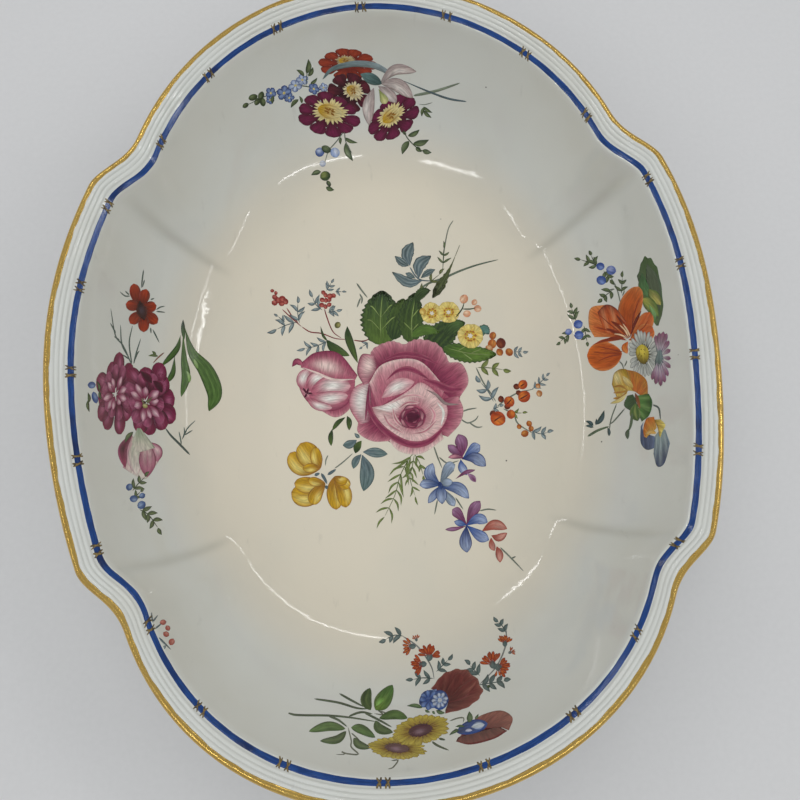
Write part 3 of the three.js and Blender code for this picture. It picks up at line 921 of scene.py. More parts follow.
def paint_top_spray(art):
    """Primulas, a nodding pale flower and a forget-me-not sprig."""
    pen = Pen()
    stem(art, pen, (-15, -7, -27, -9, -40, -5, -52, 0.6), 0.25, 0.15, MOSS)
    for x, y, radius, turn in ((-51.5, 0.2, 1.1, -35), (-48, -3.6, 1.5, -20), (-46, -1.6, 1.3, -60),
            (-44.2, -4.4, 1.4, -70), (-43.4, -1.4, 1.4, 80)):
        bud(art, (x, y), radius, turn, 1.5)
    for x, y, radius, pale in ((-39.6, -5.6, 3, 0), (-40, -2.4, 2.2, 0), (-33.4, -5.6, 3.8, 0),
            (-31, -3.4, 2.6, 0), (-28, -9.2, 3.4, 1), (-24.8, -11.8, 3, 1), (-19.4, -7.6, 3, 0),
            (-14.8, -8.2, 2.3, 1)):
        colours = (COBALT, SKY, "c3cfe4") if pale else ()
        floret(art, (x, y), radius, *colours, turn=x * 7)
    leaves(art, ((-22.8, -14.8, -22, -21.6, 1.3), (-24, -13.6, -27.6, -16.6, 0.9), (-22, -13.6,
        -19.8, -17.8, 1), (-21, -10, -17.8, -12.8, 0.8), (-26.6, -2.6, -30.2, 1.3, 1), (-38.4, -4.4,
        -38.8, -0.6, 0.9), (-25, -0.8, -26.2, -4.2, 0.7)), bend=0.1)
    stem(art, pen, (-23, -9, -22.8, -12, -22.5, -15.5), 0.2, 0.2, MOSS)

    auricula(art, (-3.4, -19.2), 13.4, 4, 0.56, 10, BRICK, BRICK_LIGHT, 0.36, (-1, -1.6), "b9ac86")
    art.raise_layer()
    stem(art, pen, (-15.2, -12.2, -10.5, -17, -0.5, -19.4, 9, -18.6, 17, -14.6), 1.1, 1.5, "5f7476",
        "87969a")
    auricula(art, (-2.6, -6), 10.4, 30, 0.85, 7, MAROON_DARK, "5e1a2a", 0.5, (1.8, -0.6), "e2d9b4")
    auricula(art, (-12.4, 4.4), 15, 14, 0.68, 10, MAROON, MAROON_LIGHT, 0.58, (0.6, -1.4))
    auricula(art, (18, 6.2), 13.4, -42, 0.68, 9, MAROON, MAROON_LIGHT, 0.55, (-1, -1.4))

    art.raise_layer()
    stem(art, pen, (22.5, -11.5, 34, -6.6, 44, -3, 52.5, -1.6), 0.5, 0.5, SLATE)
    stem(art, pen, (27.5, -4.4, 38, -6.6, 49.5, -10.4), 0.7, 0.6, "7c8874")
    art.raise_layer()
    for spine, width in (((12, -10.6, 19, -16.6, 28.8, -15.8), 2.5), ((12, -10.2, 20, -9.4, 27.2,
            -3.4), 3.2), ((11, -9, 16, -5, 19.6, -1.2), 2.6), ((8.8, -8, 6.4, 0, 6.6, 9.4), 2.8)):
        art.raise_layer()
        art.daub(pen, spine, width, belly=0.55, roundness=0.75, base="a79a97", tip=PALE_PINK,
            edge=(PINK_GREY, 6), rim=(PINK_GREY, 14), stripe=("a2918f", 4, 0.6), glow=("ddd6d0",
            0.3, 0.6, 0.4, 0.3))
    art.raise_layer()
    art.daub(pen, (11.2, -7.4, 13.2, -3.6, 14.6, -0.6), 2, belly=0.7, roundness=0.6, base="8c9a52",
        tip="d8d596", stripe=("6f7c36", 4))
    art.raise_layer()
    art.daub(pen, (2.6, -14.6, 7.2, -12.6, 12.6, -10), 2.6, belly=0.55, roundness=0.7,
        base="6d8f8e", tip="3c5654", stripe=("3a5350", 4, 0.7))

    art.raise_layer()
    stem(art, pen, (30, -0.4, 33, -0.2, 36.5, -1.2), 0.2, 0.2, STEM)
    stem(art, pen, (22.6, 11.6, 25, 16, 29.6, 20.4, 34, 22.6), 0.25, 0.15, MOSS)
    stem(art, pen, (-5.4, 12.6, -8.6, 17, -12.4, 21.6, -14.2, 27), 0.25, 0.2, STEM)
    stem(art, pen, (-5, 12.6, -4.2, 17.6, -1.2, 23), 0.25, 0.2, STEM)
    for *ends, width in ((32.2, 0.8, 36.4, 3.6, 0.8), (32.4, 2.6, 36, 6, 0.9), (32.6, 1, 31.4, 5.4,
            0.8), (25, 14.6, 30.4, 11.6, 1.2), (25.4, 17, 22.2, 23.2, 1.5), (24, 14, 22.2, 12.6,
            0.7), (27.4, 18.2, 34.8, 16.4, 1.5), (28.8, 19.6, 31.4, 22, 1.1), (31.8, 21.2, 36, 22.4,
            1.2), (-4.4, 17.8, -1, 26.4, 1.5), (-5, 15.4, 1.2, 17.8, 0.9), (-6.6, 15.2, -6.8, 18.6,
            0.7), (-13.4, 19.6, -10.6, 22.2, 1.1), (-16, 31.4, -20.6, 33, 1.2), (-13.6, 38.6, -9.8,
            40, 1.1)):
        leaflet(art, pen, ends[:2], ends[2:], width, 0.08)
    art.raise_layer()
    bud(art, (-16.6, 22.2), 2.2, 10, 1, COBALT, "b9c6de")
    bud(art, (-9.4, 22.4), 2.2, 70, 1.1, SKY, "d5dbe6")
    bud(art, (-15.2, 27.6), 1.5, 0, 1, "a9b2c4", "dcdfe4")
    art.raise_layer()
    bud(art, (-13.6, 20.8), 1.7, 30, 1.4)
    bud(art, (-14, 33.4), 2.3, -20, 1.1, MOSS, LIME)
    bud(art, (-12.4, 37), 1, 60, 1.6, "232b20", SAGE)


def strokes(art, width, colour, *paths, tip=None):
    """Thin lines of one colour, each tapering to its end."""
    art.raise_layer()
    for path in paths:
        stem(art, Pen(), path, width, width * 0.6, colour, tip)


def pinnate(art, path, pairs, long, width, dark=MOSS, light=SAGE, spread=48):
    """A twig with pairs of leaflets that shorten towards its end, and one leaflet at the end."""
    strokes(art, 0.2, dark, path)
    t = np.linspace(0.15, 1, pairs + 1)
    places = curve_through(path, t)
    ways = curve_through(path, t + 0.02) - curve_through(path, t - 0.02)
    ways /= np.linalg.norm(ways, axis=1)[:, None]
    for i, (place, way) in enumerate(zip(places, ways)):
        sides = (0,) if i == pairs else (-spread, spread)
        for side in sides:
            turn = math.radians(side + art.chance.uniform(-9, 9))
            reach = long * art.chance.uniform(1, 1.3) * (1 - 0.3 * t[i])
            c, s = math.cos(turn), math.sin(turn)
            tip = place + reach * np.array([c * way[0] - s * way[1], s * way[0] + c * way[1]])
            leaflet(art, Pen(), place, tip, width * 0.85, art.chance.uniform(-0.15, 0.15), dark,
                light)


def sprigs(art, rows, dark=MOSS, light=SAGE, spread=48):
    """Leafy twigs, each given by its path, pairs of leaflets, and their length and half-width."""
    for path, pairs, long, width in rows:
        pinnate(art, path, pairs, long, width, dark, light, spread)


def leaves(art, rows, dark=MOSS, light=SAGE, bend=0.08):
    """Small leaves, each given by its two ends and its half-width."""
    art.raise_layer()
    for *ends, width in rows:
        leaflet(art, Pen(), ends[:2], ends[2:], width, bend, dark, light)


def buds(art, rows, dark, light, long=1.15, turn=20):
    """Round buds or berries, each given by its middle and radius."""
    art.raise_layer()
    for x, y, radius in rows:
        bud(art, (x, y), radius, turn + 40 * x, long, dark, light)


def blade(art, path, width, base, tip, belly=0.55, roundness=0.75, **colours):
    """A broad petal or leaf along a curve."""
    art.raise_layer()
    art.daub(Pen(), path, width, belly=belly, roundness=roundness, base=base, tip=tip, **colours)


def blades(art, rows, base, tip, **colours):
    """Petals or leaves of one kind, each given by its path and half-width."""
    for path, width in rows:
        blade(art, path, width, base, tip, **colours)


def petal(art, inner, outer, base, tip, **colours):
    """A petal between its inner curve and its outer edge."""
    art.raise_layer()
    art.sheet(Pen(), inner, outer, base=base, tip=tip, **colours)


def paint_rose(art):
    """The big rose, petal over petal from the back ones to the heart."""
    soft = dict(edge=(ROSE, 2))
    petal(art, (-21, 9, -12, 18, 0, 22, 11, 19, 20, 11), (-22, -7, -16, -20, 0, -25, 15, -19, 24,
        -5), RUBY, ROSE)
    petal(art, (-16, -12, -12, -15, -7, -17, -2, -17), (-18.8, -17, -17.2, -23.4, -9.2, -27.1, -2.6,
        -25.6), RUBY, ROSE, rim=(PINK, 4), stripe=(WINE, 4, 0.3), ruffle=0.02)
    petal(art, (-3, -16, 3, -16.6, 8, -14, 14, -9), (-2.8, -25.6, 3.6, -28, 13, -25.6, 18.8, -16.4),
        RUBY, ROSE, rim=(PINK, 4), stripe=(WINE, 5, 0.3), ruffle=0.02)
    petal(art, (11, -12, 13, -8, 15, -4, 18.5, -1), (17.4, -17.4, 24, -16.6, 27, -8.6, 23.4, -1.8),
        RUBY, ROSE, rim=(PINK, 7), stripe=(RUBY, 4))
    petal(art, (13, 0, 14, 5, 13.5, 10, 11, 15), (22.2, -2, 24.6, 4.4, 23, 11, 17.6, 17), RUBY,
        ROSE, rim=(PINK, 3), stripe=(RUBY, 4, 0.45))
    petal(art, (-9, 14, -2, 16, 5, 16, 13.5, 12), (-10, 18.4, -4.6, 23.8, 5.2, 24.8, 15.6, 18),
        RUBY, PINK, rim=(BLUSH, 3), stripe=(ROSE, 5))
    petal(art, (-17, 5, -16, 10, -13, 13, -8, 16), (-23.8, 9.6, -24, 15, -17.4, 19, -9.6, 19), RUBY,
        ROSE, rim=(PINK, 3), stripe=(RUBY, 3))
    petal(art, (-18, -8, -18, -2, -18, 3, -18.4, 10), (-19, -9, -26, -5.4, -28, 3, -23.4, 11.4),
        RUBY, PINK, rim=(ROSE, 6), glow=(WHITE, 0, 0.5, 0.75, 0.3))
    petal(art, (-16, -19, -15.4, -16, -16, -12, -18, -8), (-17, -20.8, -22.4, -20.8, -24.4, -13,
        -21.4, -7), RUBY, PINK, rim=(RUBY, 6), glow=(BLUSH, 0.1, 0.45, 0.5, 0.3))
    petal(art, (-15, 4, -9, 0, -2, -4, 6, -8, 15, -1), (-18.8, -8, -13.4, -16, -3, -19, 6, -17, 16,
        -6), ROSE, PINK, rim=(BLUSH, 9), stripe=(ROSE, 3, 0.6))
    blade(art, (-14, -17.4, -5, -21, 4, -20.6, 13.4, -16.4), 1.2, RUBY, RUBY, **soft)
    blade(art, (-11, -9, -6.2, -13.2, -0.8, -14.4, 4, -12.6, 8.8, -9.4), 1.2, RUBY, RUBY, **soft)
    blade(art, (6, -9.6, 12, -7.6, 18, -5, 24.4, -5), 1.7, RUBY, RUBY, **soft)
    blade(art, (-13, -1, -6, -6, 2, -8.4), 3.6, PINK, PINK, edge=(PINK, 1), glow=(WHITE, 0, 0.5,
        0.6, 0.3))
    turns = np.radians(np.arange(180, 541, 24))
    rim = (-17.6, 3.4, -12.6, 2.4, -8.4, 0.4, -4, -2.2, 0, -5, 4.4, -8.2, 8.6, -6.4, 13, -2.4, 16.6,
        1.4, 17.4, 6, 15.6, 11.4, 10.6, 16.6, 3, 19.6, -5.4, 18.2, -13.4, 12.6, -17.6, 3.4)
    heart = np.stack([1 + 3 * np.cos(turns), 8 + 3 * np.sin(turns)], -1)
    petal(art, heart, rim, ROSE, BLUSH, rim=(PINK, 8), stripe=(ROSE, 9, 0.16), glow=(WHITE, -0.85,
        0.72, 0.2, 0.25))
    blade(art, (-19.8, -3, -18.4, 5, -13, 12.8, -5, 18.6, 2, 20.6, 9, 19, 15.4, 13), 1.6, RUBY,
        RUBY, roundness=0.4, **soft)
    for path, width, colour in (((-12.6, 6, -9.4, 11.4, -3, 15.4), 0.9, ROSE), ((-8, 3.6, -6.6, 9,
            -2.4, 13.4), 0.9, ROSE), ((-9, 1.6, -3, -1.4, 3, -2.2, 8, 0), 0.8, PINK), ((-5.4, 4, -1,
            1.2, 4.6, 1.4), 0.9, ROSE), ((8.4, 2, 11.4, 7, 9, 12.6), 1, PINK), ((0, 15.6, 7, 14.4,
            12.6, 9), 0.8, ROSE), ((7, -5, 12, -2.4, 16.4, 1.6, 23, 2), 0.7, PINK_GREY), ((-18.8,
            -8, -19.6, 0, -20.6, 9.6), 0.6, RUBY), ((12.4, 1, 15.4, 5.4, 14.4, 12), 0.6, WHITE)):
        blade(art, path, width, colour, colour, edge=(BLUSH if width > 0.75 else colour, 3))
    blade(art, (-5.4, 8.6, 1, 8, 7.4, 7.2), 5.6, RUBY, RUBY, roundness=0.5, edge=(ROSE, 3))
    blade(art, (-2.6, 8.4, 1, 8, 4.6, 7.6), 3.4, WINE, WINE, roundness=0.5, edge=(RUBY, 3))
    for turn, reach, width in ((0, 4.8, 1), (50, 4.4, 0.8), (105, 5, 1), (160, 4.6, 0.9),
            (215, 5, 1), (265, 4.2, 0.8), (310, 4.8, 1), (20, 2.6, 0.7), (130, 2.8, 0.7),
            (240, 2.6, 0.7)):
        spin = np.radians(turn + np.array([0, 32, 66]))
        ring = np.stack([1 + reach * np.cos(spin), 8 + reach * np.sin(spin)], -1)
        blade(art, ring, width, RUBY, PINK if reach > 4.5 else ROSE, edge=(WINE, 5))


def paint_rose_bud(art):
    """The half-open bud beside the rose, with its sepals."""
    blades(art, (((-41.3, -34, -40.1, -29.8, -38, -27.1), 0.6), ((-38.6, -27.8, -35, -23.8, -28,
        -20.4), 2.2), ((-29, -34, -28.2, -28, -24.2, -17.2), 1.8), ((-29.9, 8, -33.2, 10.4, -35.9,
        14), 1.1), ((-35.9, 13.5, -36.6, 17, -36.4, 21.2), 1.2), ((-29, 7.4, -28.1, 10, -28.1, 14),
        1.3)), MOSS, LEAF, edge=MOSS)
    petal(art, (-42, 0, -35, 1, -30, -1, -26, -4), (-42, 4.4, -34.6, 8, -28.6, 5, -25.6, -1), RUBY,
        ROSE, rim=PINK)
    blade(art, (-51.6, -9, -38.6, -7.4, -25.4, -9), 12.6, PINK, ROSE, roundness=0.5, edge=(RUBY, 7))
    blades(art, (((-48.6, -4, -49.6, -9, -47, -14), 3), ((-47, -4, -44, -9, -38.6, -11.4), 3.8),
        ((-46, -3, -38, -6.4, -27.4, -6.4), 4.6), ((-46.6, -2, -39, -0.6, -28.6, -2), 3.4), ((-48,
        -1.4, -43, 2.4, -36, 3.6), 2.2)), ROSE, PINK, belly=0.6, roundness=0.5, edge=(ROSE, 4),
        glow=(WHITE, 0, 0.62, 0.6, 0.26))
    petal(art, (-50.4, -15, -43.4, -12.4, -35, -9.4, -25.2, -9.4), (-50, -17.4, -43.4, -22, -33,
        -21.6, -24.2, -11.4), ROSE, ROSE, rim=(RUBY, 3), glow=(BLUSH, 0, 0.42, 0.42, 0.22))
    blade(art, (-50, -15.2, -43.4, -12.6, -35, -9.4, -25.6, -9.6), 0.6, BLUSH, BLUSH)
    blade(art, (-54.4, -15.4, -52.2, -17.8, -49.4, -16), 1.5, RUBY, ROSE, edge=RUBY)
    strokes(art, 0.5, WINE, (-47.6, -3, -49.4, -5.6), (-47.6, -3, -46.8, -5.4),
        (-47.6, -3, -45, -3), (-47.6, -3, -48.6, -1))


def pea_flower(art, root, lobes):
    """A yellow pea flower: veined lobes that spread from the calyx, the widest first."""
    for middle, tip, width in lobes:
        blade(art, [root, middle, tip], width, OCHRE, YELLOW, belly=0.6, roundness=0.5, edge=(OCHRE,
            9), rim=(OCHRE, 16), stripe=(OCHRE, 4, 0.35), glow=(CREAM, -0.4, 0.6, 0.35, 0.25))


def paint_pea_flowers(art):
    """Three yellow pea flowers with grey leaves, below the bud."""
    strokes(art, 0.3, STEM, (-34.9, 31.7, -30.7, 28.5, -26.4, 24.6), (-37.8, 25.4, -38.8, 27.7,
        -39.1, 30.4))
    blades(art, (((-22.5, 25.1, -25, 28, -26.2, 31.7), 1.7), ((-22, 25.4, -19.8, 33.6, -21.4, 42),
        3.4), ((-21.7, 24, -16.4, 24.2, -10.4, 25), 2.3), ((-24.6, 18.5, -27.6, 20.4, -31, 20.9),
        2), ((-25.6, 15.3, -24.4, 16.6, -23.2, 17.4), 0.9)), SLATE, "4f6663", stripe=(MIST, 3,
        0.45), edge=("3d5452", 6))
    blade(art, (-22.4, 18.8, -24.2, 21.4, -25.2, 24.6), 1.7, LEAF, MOSS)
    pea_flower(art, (-41.4, 31.6), (((-50, 30.6), (-55.4, 24.4), 4.6), ((-46, 26.6), (-50.6, 20),
        5.4), ((-43, 28), (-43.8, 21.6), 2.8), ((-45, 31.4), (-49.6, 31.6), 2.2)))
    pea_flower(art, (-39.2, 38.4), (((-47, 44), (-54.8, 42.6), 5.2), ((-46, 39.4), (-53.4, 38.4),
        3.8), ((-43.4, 43.6), (-45, 48.4), 3.2), ((-43, 38), (-47, 36.8), 2.2)))
    pea_flower(art, (-34.6, 35.2), (((-34.8, 42), (-34, 50.6), 3.8), ((-30.8, 42), (-29.6, 49.6),
        3.6), ((-31, 38), (-28, 40.6), 2.8), ((-32.4, 37.4), (-28.8, 36.6), 2.2)))
    strokes(art, 0.7, SLATE, (-41, 33.8, -39.4, 36.4, -38.3, 38.8), (-38.1, 34.6, -36, 33.2, -34.1,
        32), (-38.8, 39.4, -38.3, 41.2), (-44.1, 34.8, -41.7, 33.8))


def paint_blue_flowers(art):
    """Star flowers in blue and purple, the feathery stem and the salmon twig below the rose."""
    green = "55662f"
    sprigs(art, (((1.5, 24.8, -0.8, 27.6, -4.6, 35.2, -7, 44, -11.8, 54), 8, 8.2, 0.6), ((2, 25.4,
        1, 31, 0, 36, 2.4, 44.6), 5, 5.2, 0.55), ((2.1, 25, 4.4, 29, 6.1, 34.9), 2, 4, 0.7)), green,
        "7c8a4a", 36)
    strokes(art, 0.35, STEM, (11, 21.3, 12.7, 26.3, 14.8, 31.5), (13.3, 26.3, 17.4, 29.2, 22.6, 28),
        (12.7, 46, 11.3, 52.9), (21, 45, 24.6, 50.6), (32.1, 51.2, 36, 50.4, 40, 50.9))
    edge, pale, grey = "2f4678", "aab8d0", "6a7782"
    for path, width, dark in (((13.6, 38.8, 9.2, 34.4, 10.4, 29.2), 2.7, edge), ((14, 38.4, 17.9,
            31.5, 20.8, 29.7), 2.6, grey), ((13.7, 39.3, 8.1, 38.7, 4.4, 39.3), 2.3, edge), ((14.2,
            40, 22, 40.6, 27.2, 45.4), 2.8, edge), ((14, 38.6, 19.7, 37.6), 2, grey), ((13.4, 40,
            11, 44, 8.4, 47.6), 1.8, edge), ((14.2, 40.4, 18.6, 46, 20.6, 49), 2, grey), ((13.8,
            39.6, 14.4, 43, 14.9, 48), 2.7, edge)):
        blade(art, path, width, dark, pale, edge=(dark, 5), rim=(dark, 12), stripe=(dark, 4, 0.5))
    blade(art, (13.4, 37.6, 14, 39.4, 14.4, 41.4), 1.2, NAVY, edge)
    plum, violet, mist = "6a2850", "a07a9a", "a8b6d0"
    for path, width, dark, light in (((24, 26.6, 23.9, 20.4, 22.3, 15.8), 3, plum, violet), ((24.4,
            26.7, 20.6, 23.4, 17.5, 20.8), 2, plum, violet), ((25.5, 27, 21.6, 26, 17.7, 26.5), 1.2,
            plum, PINK), ((24.6, 26.6, 29.5, 22.6, 32.3, 20.8), 2.6, COBALT, mist), ((24, 27.2,
            30.1, 26.8, 35, 30.5), 2.8, NAVY, mist), ((23.4, 27.4, 24, 31, 26.3, 34.6), 2, COBALT,
            "b4bfd4"), ((21.1, 36.4, 25.5, 33.5, 30.1, 32.3), 0.9, plum, violet), ((26.3, 33.8,
            28.6, 35.6, 30.4, 37.9), 1.3, violet, plum), ((26, 58, 29.2, 51, 32.3, 46.6), 2.6, plum,
            violet), ((26.3, 57.8, 22, 52.3, 19.6, 50.4), 2.4, plum, violet),
            ((26.3, 57.8, 20.4, 56.1), 1.5, COBALT, mist), ((26, 58.2, 20.8, 59.5, 16.3, 59.8), 1,
            plum, violet), ((25.8, 58, 31.3, 54.9, 35.8, 56.4), 2.5, COBALT, mist), ((26, 57.8,
            31.9, 62.4, 36.4, 64.7), 2.6, COBALT, mist), ((26.1, 57.8, 25.6, 64.5, 26.3, 70.4), 2.9,
            NAVY, mist)):
        blade(art, path, width, dark, light, belly=0.6, edge=(dark, 5), rim=(dark, 12),
            stripe=(dark, 4, 0.5))
    salmon, blush = "9c4434", "d6a898"
    blades(art, (((33.4, 60.4, 39, 57.6, 44.8, 59.4), 2.4), ((37.6, 62.6, 41, 63.6, 44.8, 61.4),
        1.8), ((37.4, 63.6, 37.8, 67, 39, 69.6), 1.5), ((40, 67.6, 41.2, 71, 41.6, 75), 1.8)),
        salmon, blush, edge=(salmon, 3), rim=salmon, stripe=(salmon, 3, 0.4))
    strokes(art, 0.35, STEM, (41.6, 68, 46.9, 73.2, 52.4, 79), (47, 73, 48.9, 72.2))


def paint_orange_sprigs(art):
    """Orange buds, berries and their leaves right of the rose."""
    strokes(art, 0.35, STEM, (30.4, -15.2, 33.6, -8.5, 37.1, -3.3, 39.7, 0.8), (43, 4, 47.8, 6.6,
        49.2, 10, 51.6, 12.3, 57.4, 15.8), (40.3, 3, 44, 0, 50, -3.4, 57, -5), (24, 5.4, 27.2, 4.3,
        31, 3.7), (23.2, 8.6, 26.6, 10.6, 30.1, 9.2, 31.6, 7.1), (27.2, 10.3, 30.7, 12.5, 33.6,
        12.3))
    sprigs(art, (((31, -15, 37, -14.8, 43, -14), 2, 4.6, 1.2), ((47, 6, 51.9, 6), 1, 3, 0.7)),
        "55622c", LIME)
    sprigs(art, (((38.6, 0.8, 36, -4, 32.6, -8.2), 2, 5.4, 1.2), ((55.9, -4.6, 60, -8, 63, -11), 3,
        3.1, 0.7), ((55.2, 13.8, 60, 15.6, 63.4, 15), 2, 4, 1), ((47.5, -22.2, 52, -22.2), 2, 3,
        0.8), ((38, 4.4, 41.4, 3), 1, 2.6, 0.8)), SLATE, MIST)
    buds(art, ((38.2, -29.7, 1.6), (37.9, -25.9, 2), (41.4, -22.1, 1.6), (45.8, -22.1, 1.7),
        (50.4, 12.3, 1.1), (55, 10.9, 1.3), (55.9, 13.2, 1.2), (53, 15.5, 1.6)), "9c4a14", "cf8a3e")
    buds(art, ((36.5, -23.6, 1.7), (59.1, -6.5, 1.1), (59.7, -3, 1.4)), "a8642c", "d9b080")
    buds(art, ((42, -26.2, 2.2), (49.2, -6.2, 1.4), (50.1, -3.3, 1.2), (42, -0.4, 1.4),
        (44.9, 3.1, 1.3), (38.2, 6.3, 1.4)), "5c2010", "8a4420")
    buds(art, ((52.1, -7.1, 2.1), (52.7, -1.6, 2.7), (45.8, 0.8, 2.4), (46.6, 6.6, 2),
        (40.6, 8.6, 3.3)), "a43c10", "dc7c28", 1.1)
    strokes(art, 0.3, "5c2010", (50.6, -0.4, 52.6, -1.4, 54.6, -2.6), (44.4, 2.2, 45.8, 0.8, 47,
        -0.6), (38.6, 10, 40.4, 8.6, 42.6, 7.4), (51, -6.2, 52.8, -7.6))


def paint_upper_leaves(art):
    """The grey leaf group, the thin sprig and the branch above the roses."""
    for path, width, dark in (((-0.1, -62.1, -1.2, -67.5, 1.3, -72.6), 2.9, 0), ((-0.6, -61.9, -3.5,
            -63.4, -6.9, -66.3), 1.8, 1), ((4, -56.3, 4.4, -62.4, 9.5, -66.4), 2.9, 0), ((5, -56.3,
            8, -58.6, 11.5, -60.2), 1.5, 1), ((5.4, -54.9, -0.9, -54.3, -8.1, -58.9), 2.3, 0),
            ((2.5, -56.1, 0, -57.6, -2, -58.5), 1.2, 1)):
        blade(art, path, width, "364a4a" if dark else SLATE, "4a5c5c", ruffle=0.05, ruffles=5,
            stripe=(MIST, 3, 0.6), edge=("384c4c", 4))
    art.raise_layer()
    olive = "49512f"
    strokes(art, 0.35, SLATE, (-0.1, -61.4, 2.5, -57.3, 5.4, -55.3, 11.3, -54.9))
    strokes(art, 0.5, "5e6a5a", (4, -51, 8.8, -53.9, 15.6, -56.3, 23.4, -59.7, 31.2, -62.4, 40.7,
        -64.8))
    strokes(art, 0.25, STEM, (20, -83, 17.6, -78.7, 15.9, -70, 15.4, -64.6, 15, -58.7))
    sprigs(art, (((15.2, -62, 15.4, -66, 15.6, -70), 2, 3.8, 0.6),))
    blade(art, (22.9, -71.4, 19, -62, 15.4, -55, 11, -48), 2.1, olive, "3c4626", belly=0.8,
        ruffle=0.14, ruffles=9, stripe=("737a44", 3, 0.4))
    sprigs(art, (((4.4, -48, 9, -54, 13.6, -58), 2, 3.8, 0.8),), olive, "737a44", 40)


def yellow_rose(art, at, radius):
    """A small pale-yellow rose with a dotted orange-brown ring."""
    pen = Pen(at, 1, 20 * at[0], 0.95)
    petal_ring(art, pen, 6, radius * 0.15, radius, radius * 0.55, belly=0.62, roundness=0.55,
        base=YELLOW, tip="e5d489", edge=("c9b05a", 5), rim="c9b05a", glow=(CREAM, 0.2, 0.6, 0.4,
        0.3))
    petal_ring(art, pen, 9, radius * 0.3, radius * 0.46, radius * 0.11, jitter=0.12, base="a87a2a",
        tip="a8541e", spacing=0.5)


def paint_rose_leaves(art):
    """Green leaves and yellow roses behind the big rose."""
    for path, width, base, tip in (((8, -21, 14, -29, 22, -36), 6.5, MOSS, MOSS), ((-13.4, -25.4,
            -13.4, -38, -12.8, -50), 9.2, "526a28", "2f4327"), ((-8, -28, -5.4, -38, -3, -46.4), 5,
            MOSS, "3f5420"), ((0.6, -26.4, 0.4, -38, 2.4, -49), 5.8, "3f5420", MOSS), ((2.6, -46,
            5.4, -49.4, 9, -50.7), 2.3, MOSS, MOSS), ((0.6, -29.6, 7, -32.4, 13.4, -31.1), 2.6,
            "4f6e26", "4f6e26"), ((16, -30, 20, -34, 25.2, -35.6), 3, MOSS, "44602f"), ((30, -28,
            34, -32.6, 36.4, -30.6), 2.2, "3e6a64", "5f8a84"), ((15.4, -24, 27, -21.4, 39.4, -21),
            4.2, "42601e", "5f7e2c")):
        blade(art, path, width, base, tip, belly=0.45, roundness=0.55, ruffle=0.07, ruffles=11,
            edge=(MOSS, 4), stripe=("5f7a30", 5, 0.3))
    vein = "8a9e58"
    for path in ((-13.4, -27, -13.6, -38, -12.8, -48), (1, -27, 0.8, -37, 2.2, -46), (17, -24, 27,
            -21.6, 37, -21), (-13.5, -32, -9, -37, -6.6, -38.6), (-13.5, -38, -9.6, -43, -8, -44),
            (-13.5, -32, -17.6, -36.4, -20, -37), (-13.5, -38, -17, -42.6, -18.4, -43.4),
            (1, -32, 4, -35.4), (0.9, -38, 4, -42), (1, -32, -3, -36), (22, -22.6, 26, -25),
            (28, -21.6, 33, -23.6), (24, -22, 29, -18.4)):
        blade(art, path, 0.35, vein, vein, edge=LEAF)
    yellow_rose(art, (10.1, -40), 5.2)
    yellow_rose(art, (17.8, -40.5), 5.4)
    yellow_rose(art, (27.8, -29.6), 6.2)
    buds(art, ((5.9, -40.8, 1.5),), "b98f3a", CREAM)
    buds(art, ((24.9, -46.6, 1.9), (31.2, -42.2, 1.6), (26.3, -39.8, 1.6), (29.7, -45.1, 1.3)),
        "cf8f6a", "e8c9a8")
    strokes(art, 0.3, MOSS, (21, -38, 24, -42, 25, -45), (24, -42, 28, -42, 30.4, -42.6))


def paint_red_florets(art):
    """Fine sprigs of small red florets left of the leaves."""
    red_brown = "7c2e30"
    strokes(art, 0.28, red_brown, (-59, -41.9, -54.3, -37.5, -50, -33.8), (-57, -42.6, -54.3, -38.5,
        -51.4, -35.5), (-50, -33.8, -46, -31.4, -40.7, -30.7, -34.4, -28.4, -28.4, -27.9), (-26.2,
        -27.6, -21.6, -27.2, -17.4, -28.7), (-39.5, -42.1, -38.3, -38, -35.6, -31.6, -31.5, -28.4))
    strokes(art, 0.4, STEM, (-24.7, -54, -22.3, -50.6, -19.6, -47.2), (-23.3, -49.1, -22.1, -46.7,
        -22.5, -44.3), (-22.8, -47.2, -24.5, -42.6))
    sprigs(art, (((-52, -36, -57, -34.6, -61.6, -32.6), 2, 5.4, 1), ((-51, -35.4, -51.8, -40, -51.8,
        -44.6), 2, 4.7, 0.9), ((-40.4, -41.4, -43.4, -44, -45, -47.4), 2, 4.4, 0.9),
        ((-38, -40.4, -34, -41.2), 2, 3.4, 0.8), ((-38.6, -50.4, -36.4, -54), 2, 3, 0.7),
        ((-34.6, -50, -31.4, -50), 1, 2.4, 0.6), ((-57.6, -36, -61, -38.6), 1, 2.6, 0.7), ((-37,
        -27.6, -43, -25, -48.4, -23.8), 3, 4.7, 0.8), ((-19.2, -26.6, -22, -24.6), 1, 2.4, 0.6)),
        "44555a", MIST)
    buds(art, ((-63.6, -50.4, 0.8), (-61.9, -49.4, 0.8), (-62.4, -47.4, 1.2), (-62.6, -44.8, 1.2),
        (-61.1, -46, 1.3), (-59, -46.7, 1.4), (-57.5, -45.5, 1.3), (-59.2, -44.5, 1.2),
        (-40, -49.6, 1), (-39, -48.4, 1), (-36.9, -47.9, 1.3), (-35.2, -48.2, 1), (-38.8, -46, 1),
        (-37.3, -46.2, 1), (-40.7, -43.8, 1.1), (-39, -43.1, 1), (-37.3, -44, 1),
        (-40.5, -46.2, 1.1)), "84241e", "c06a5c", 1.2)
    buds(art, ((-33.4, -34.6, 1.4),), "54542a", "a8a262")


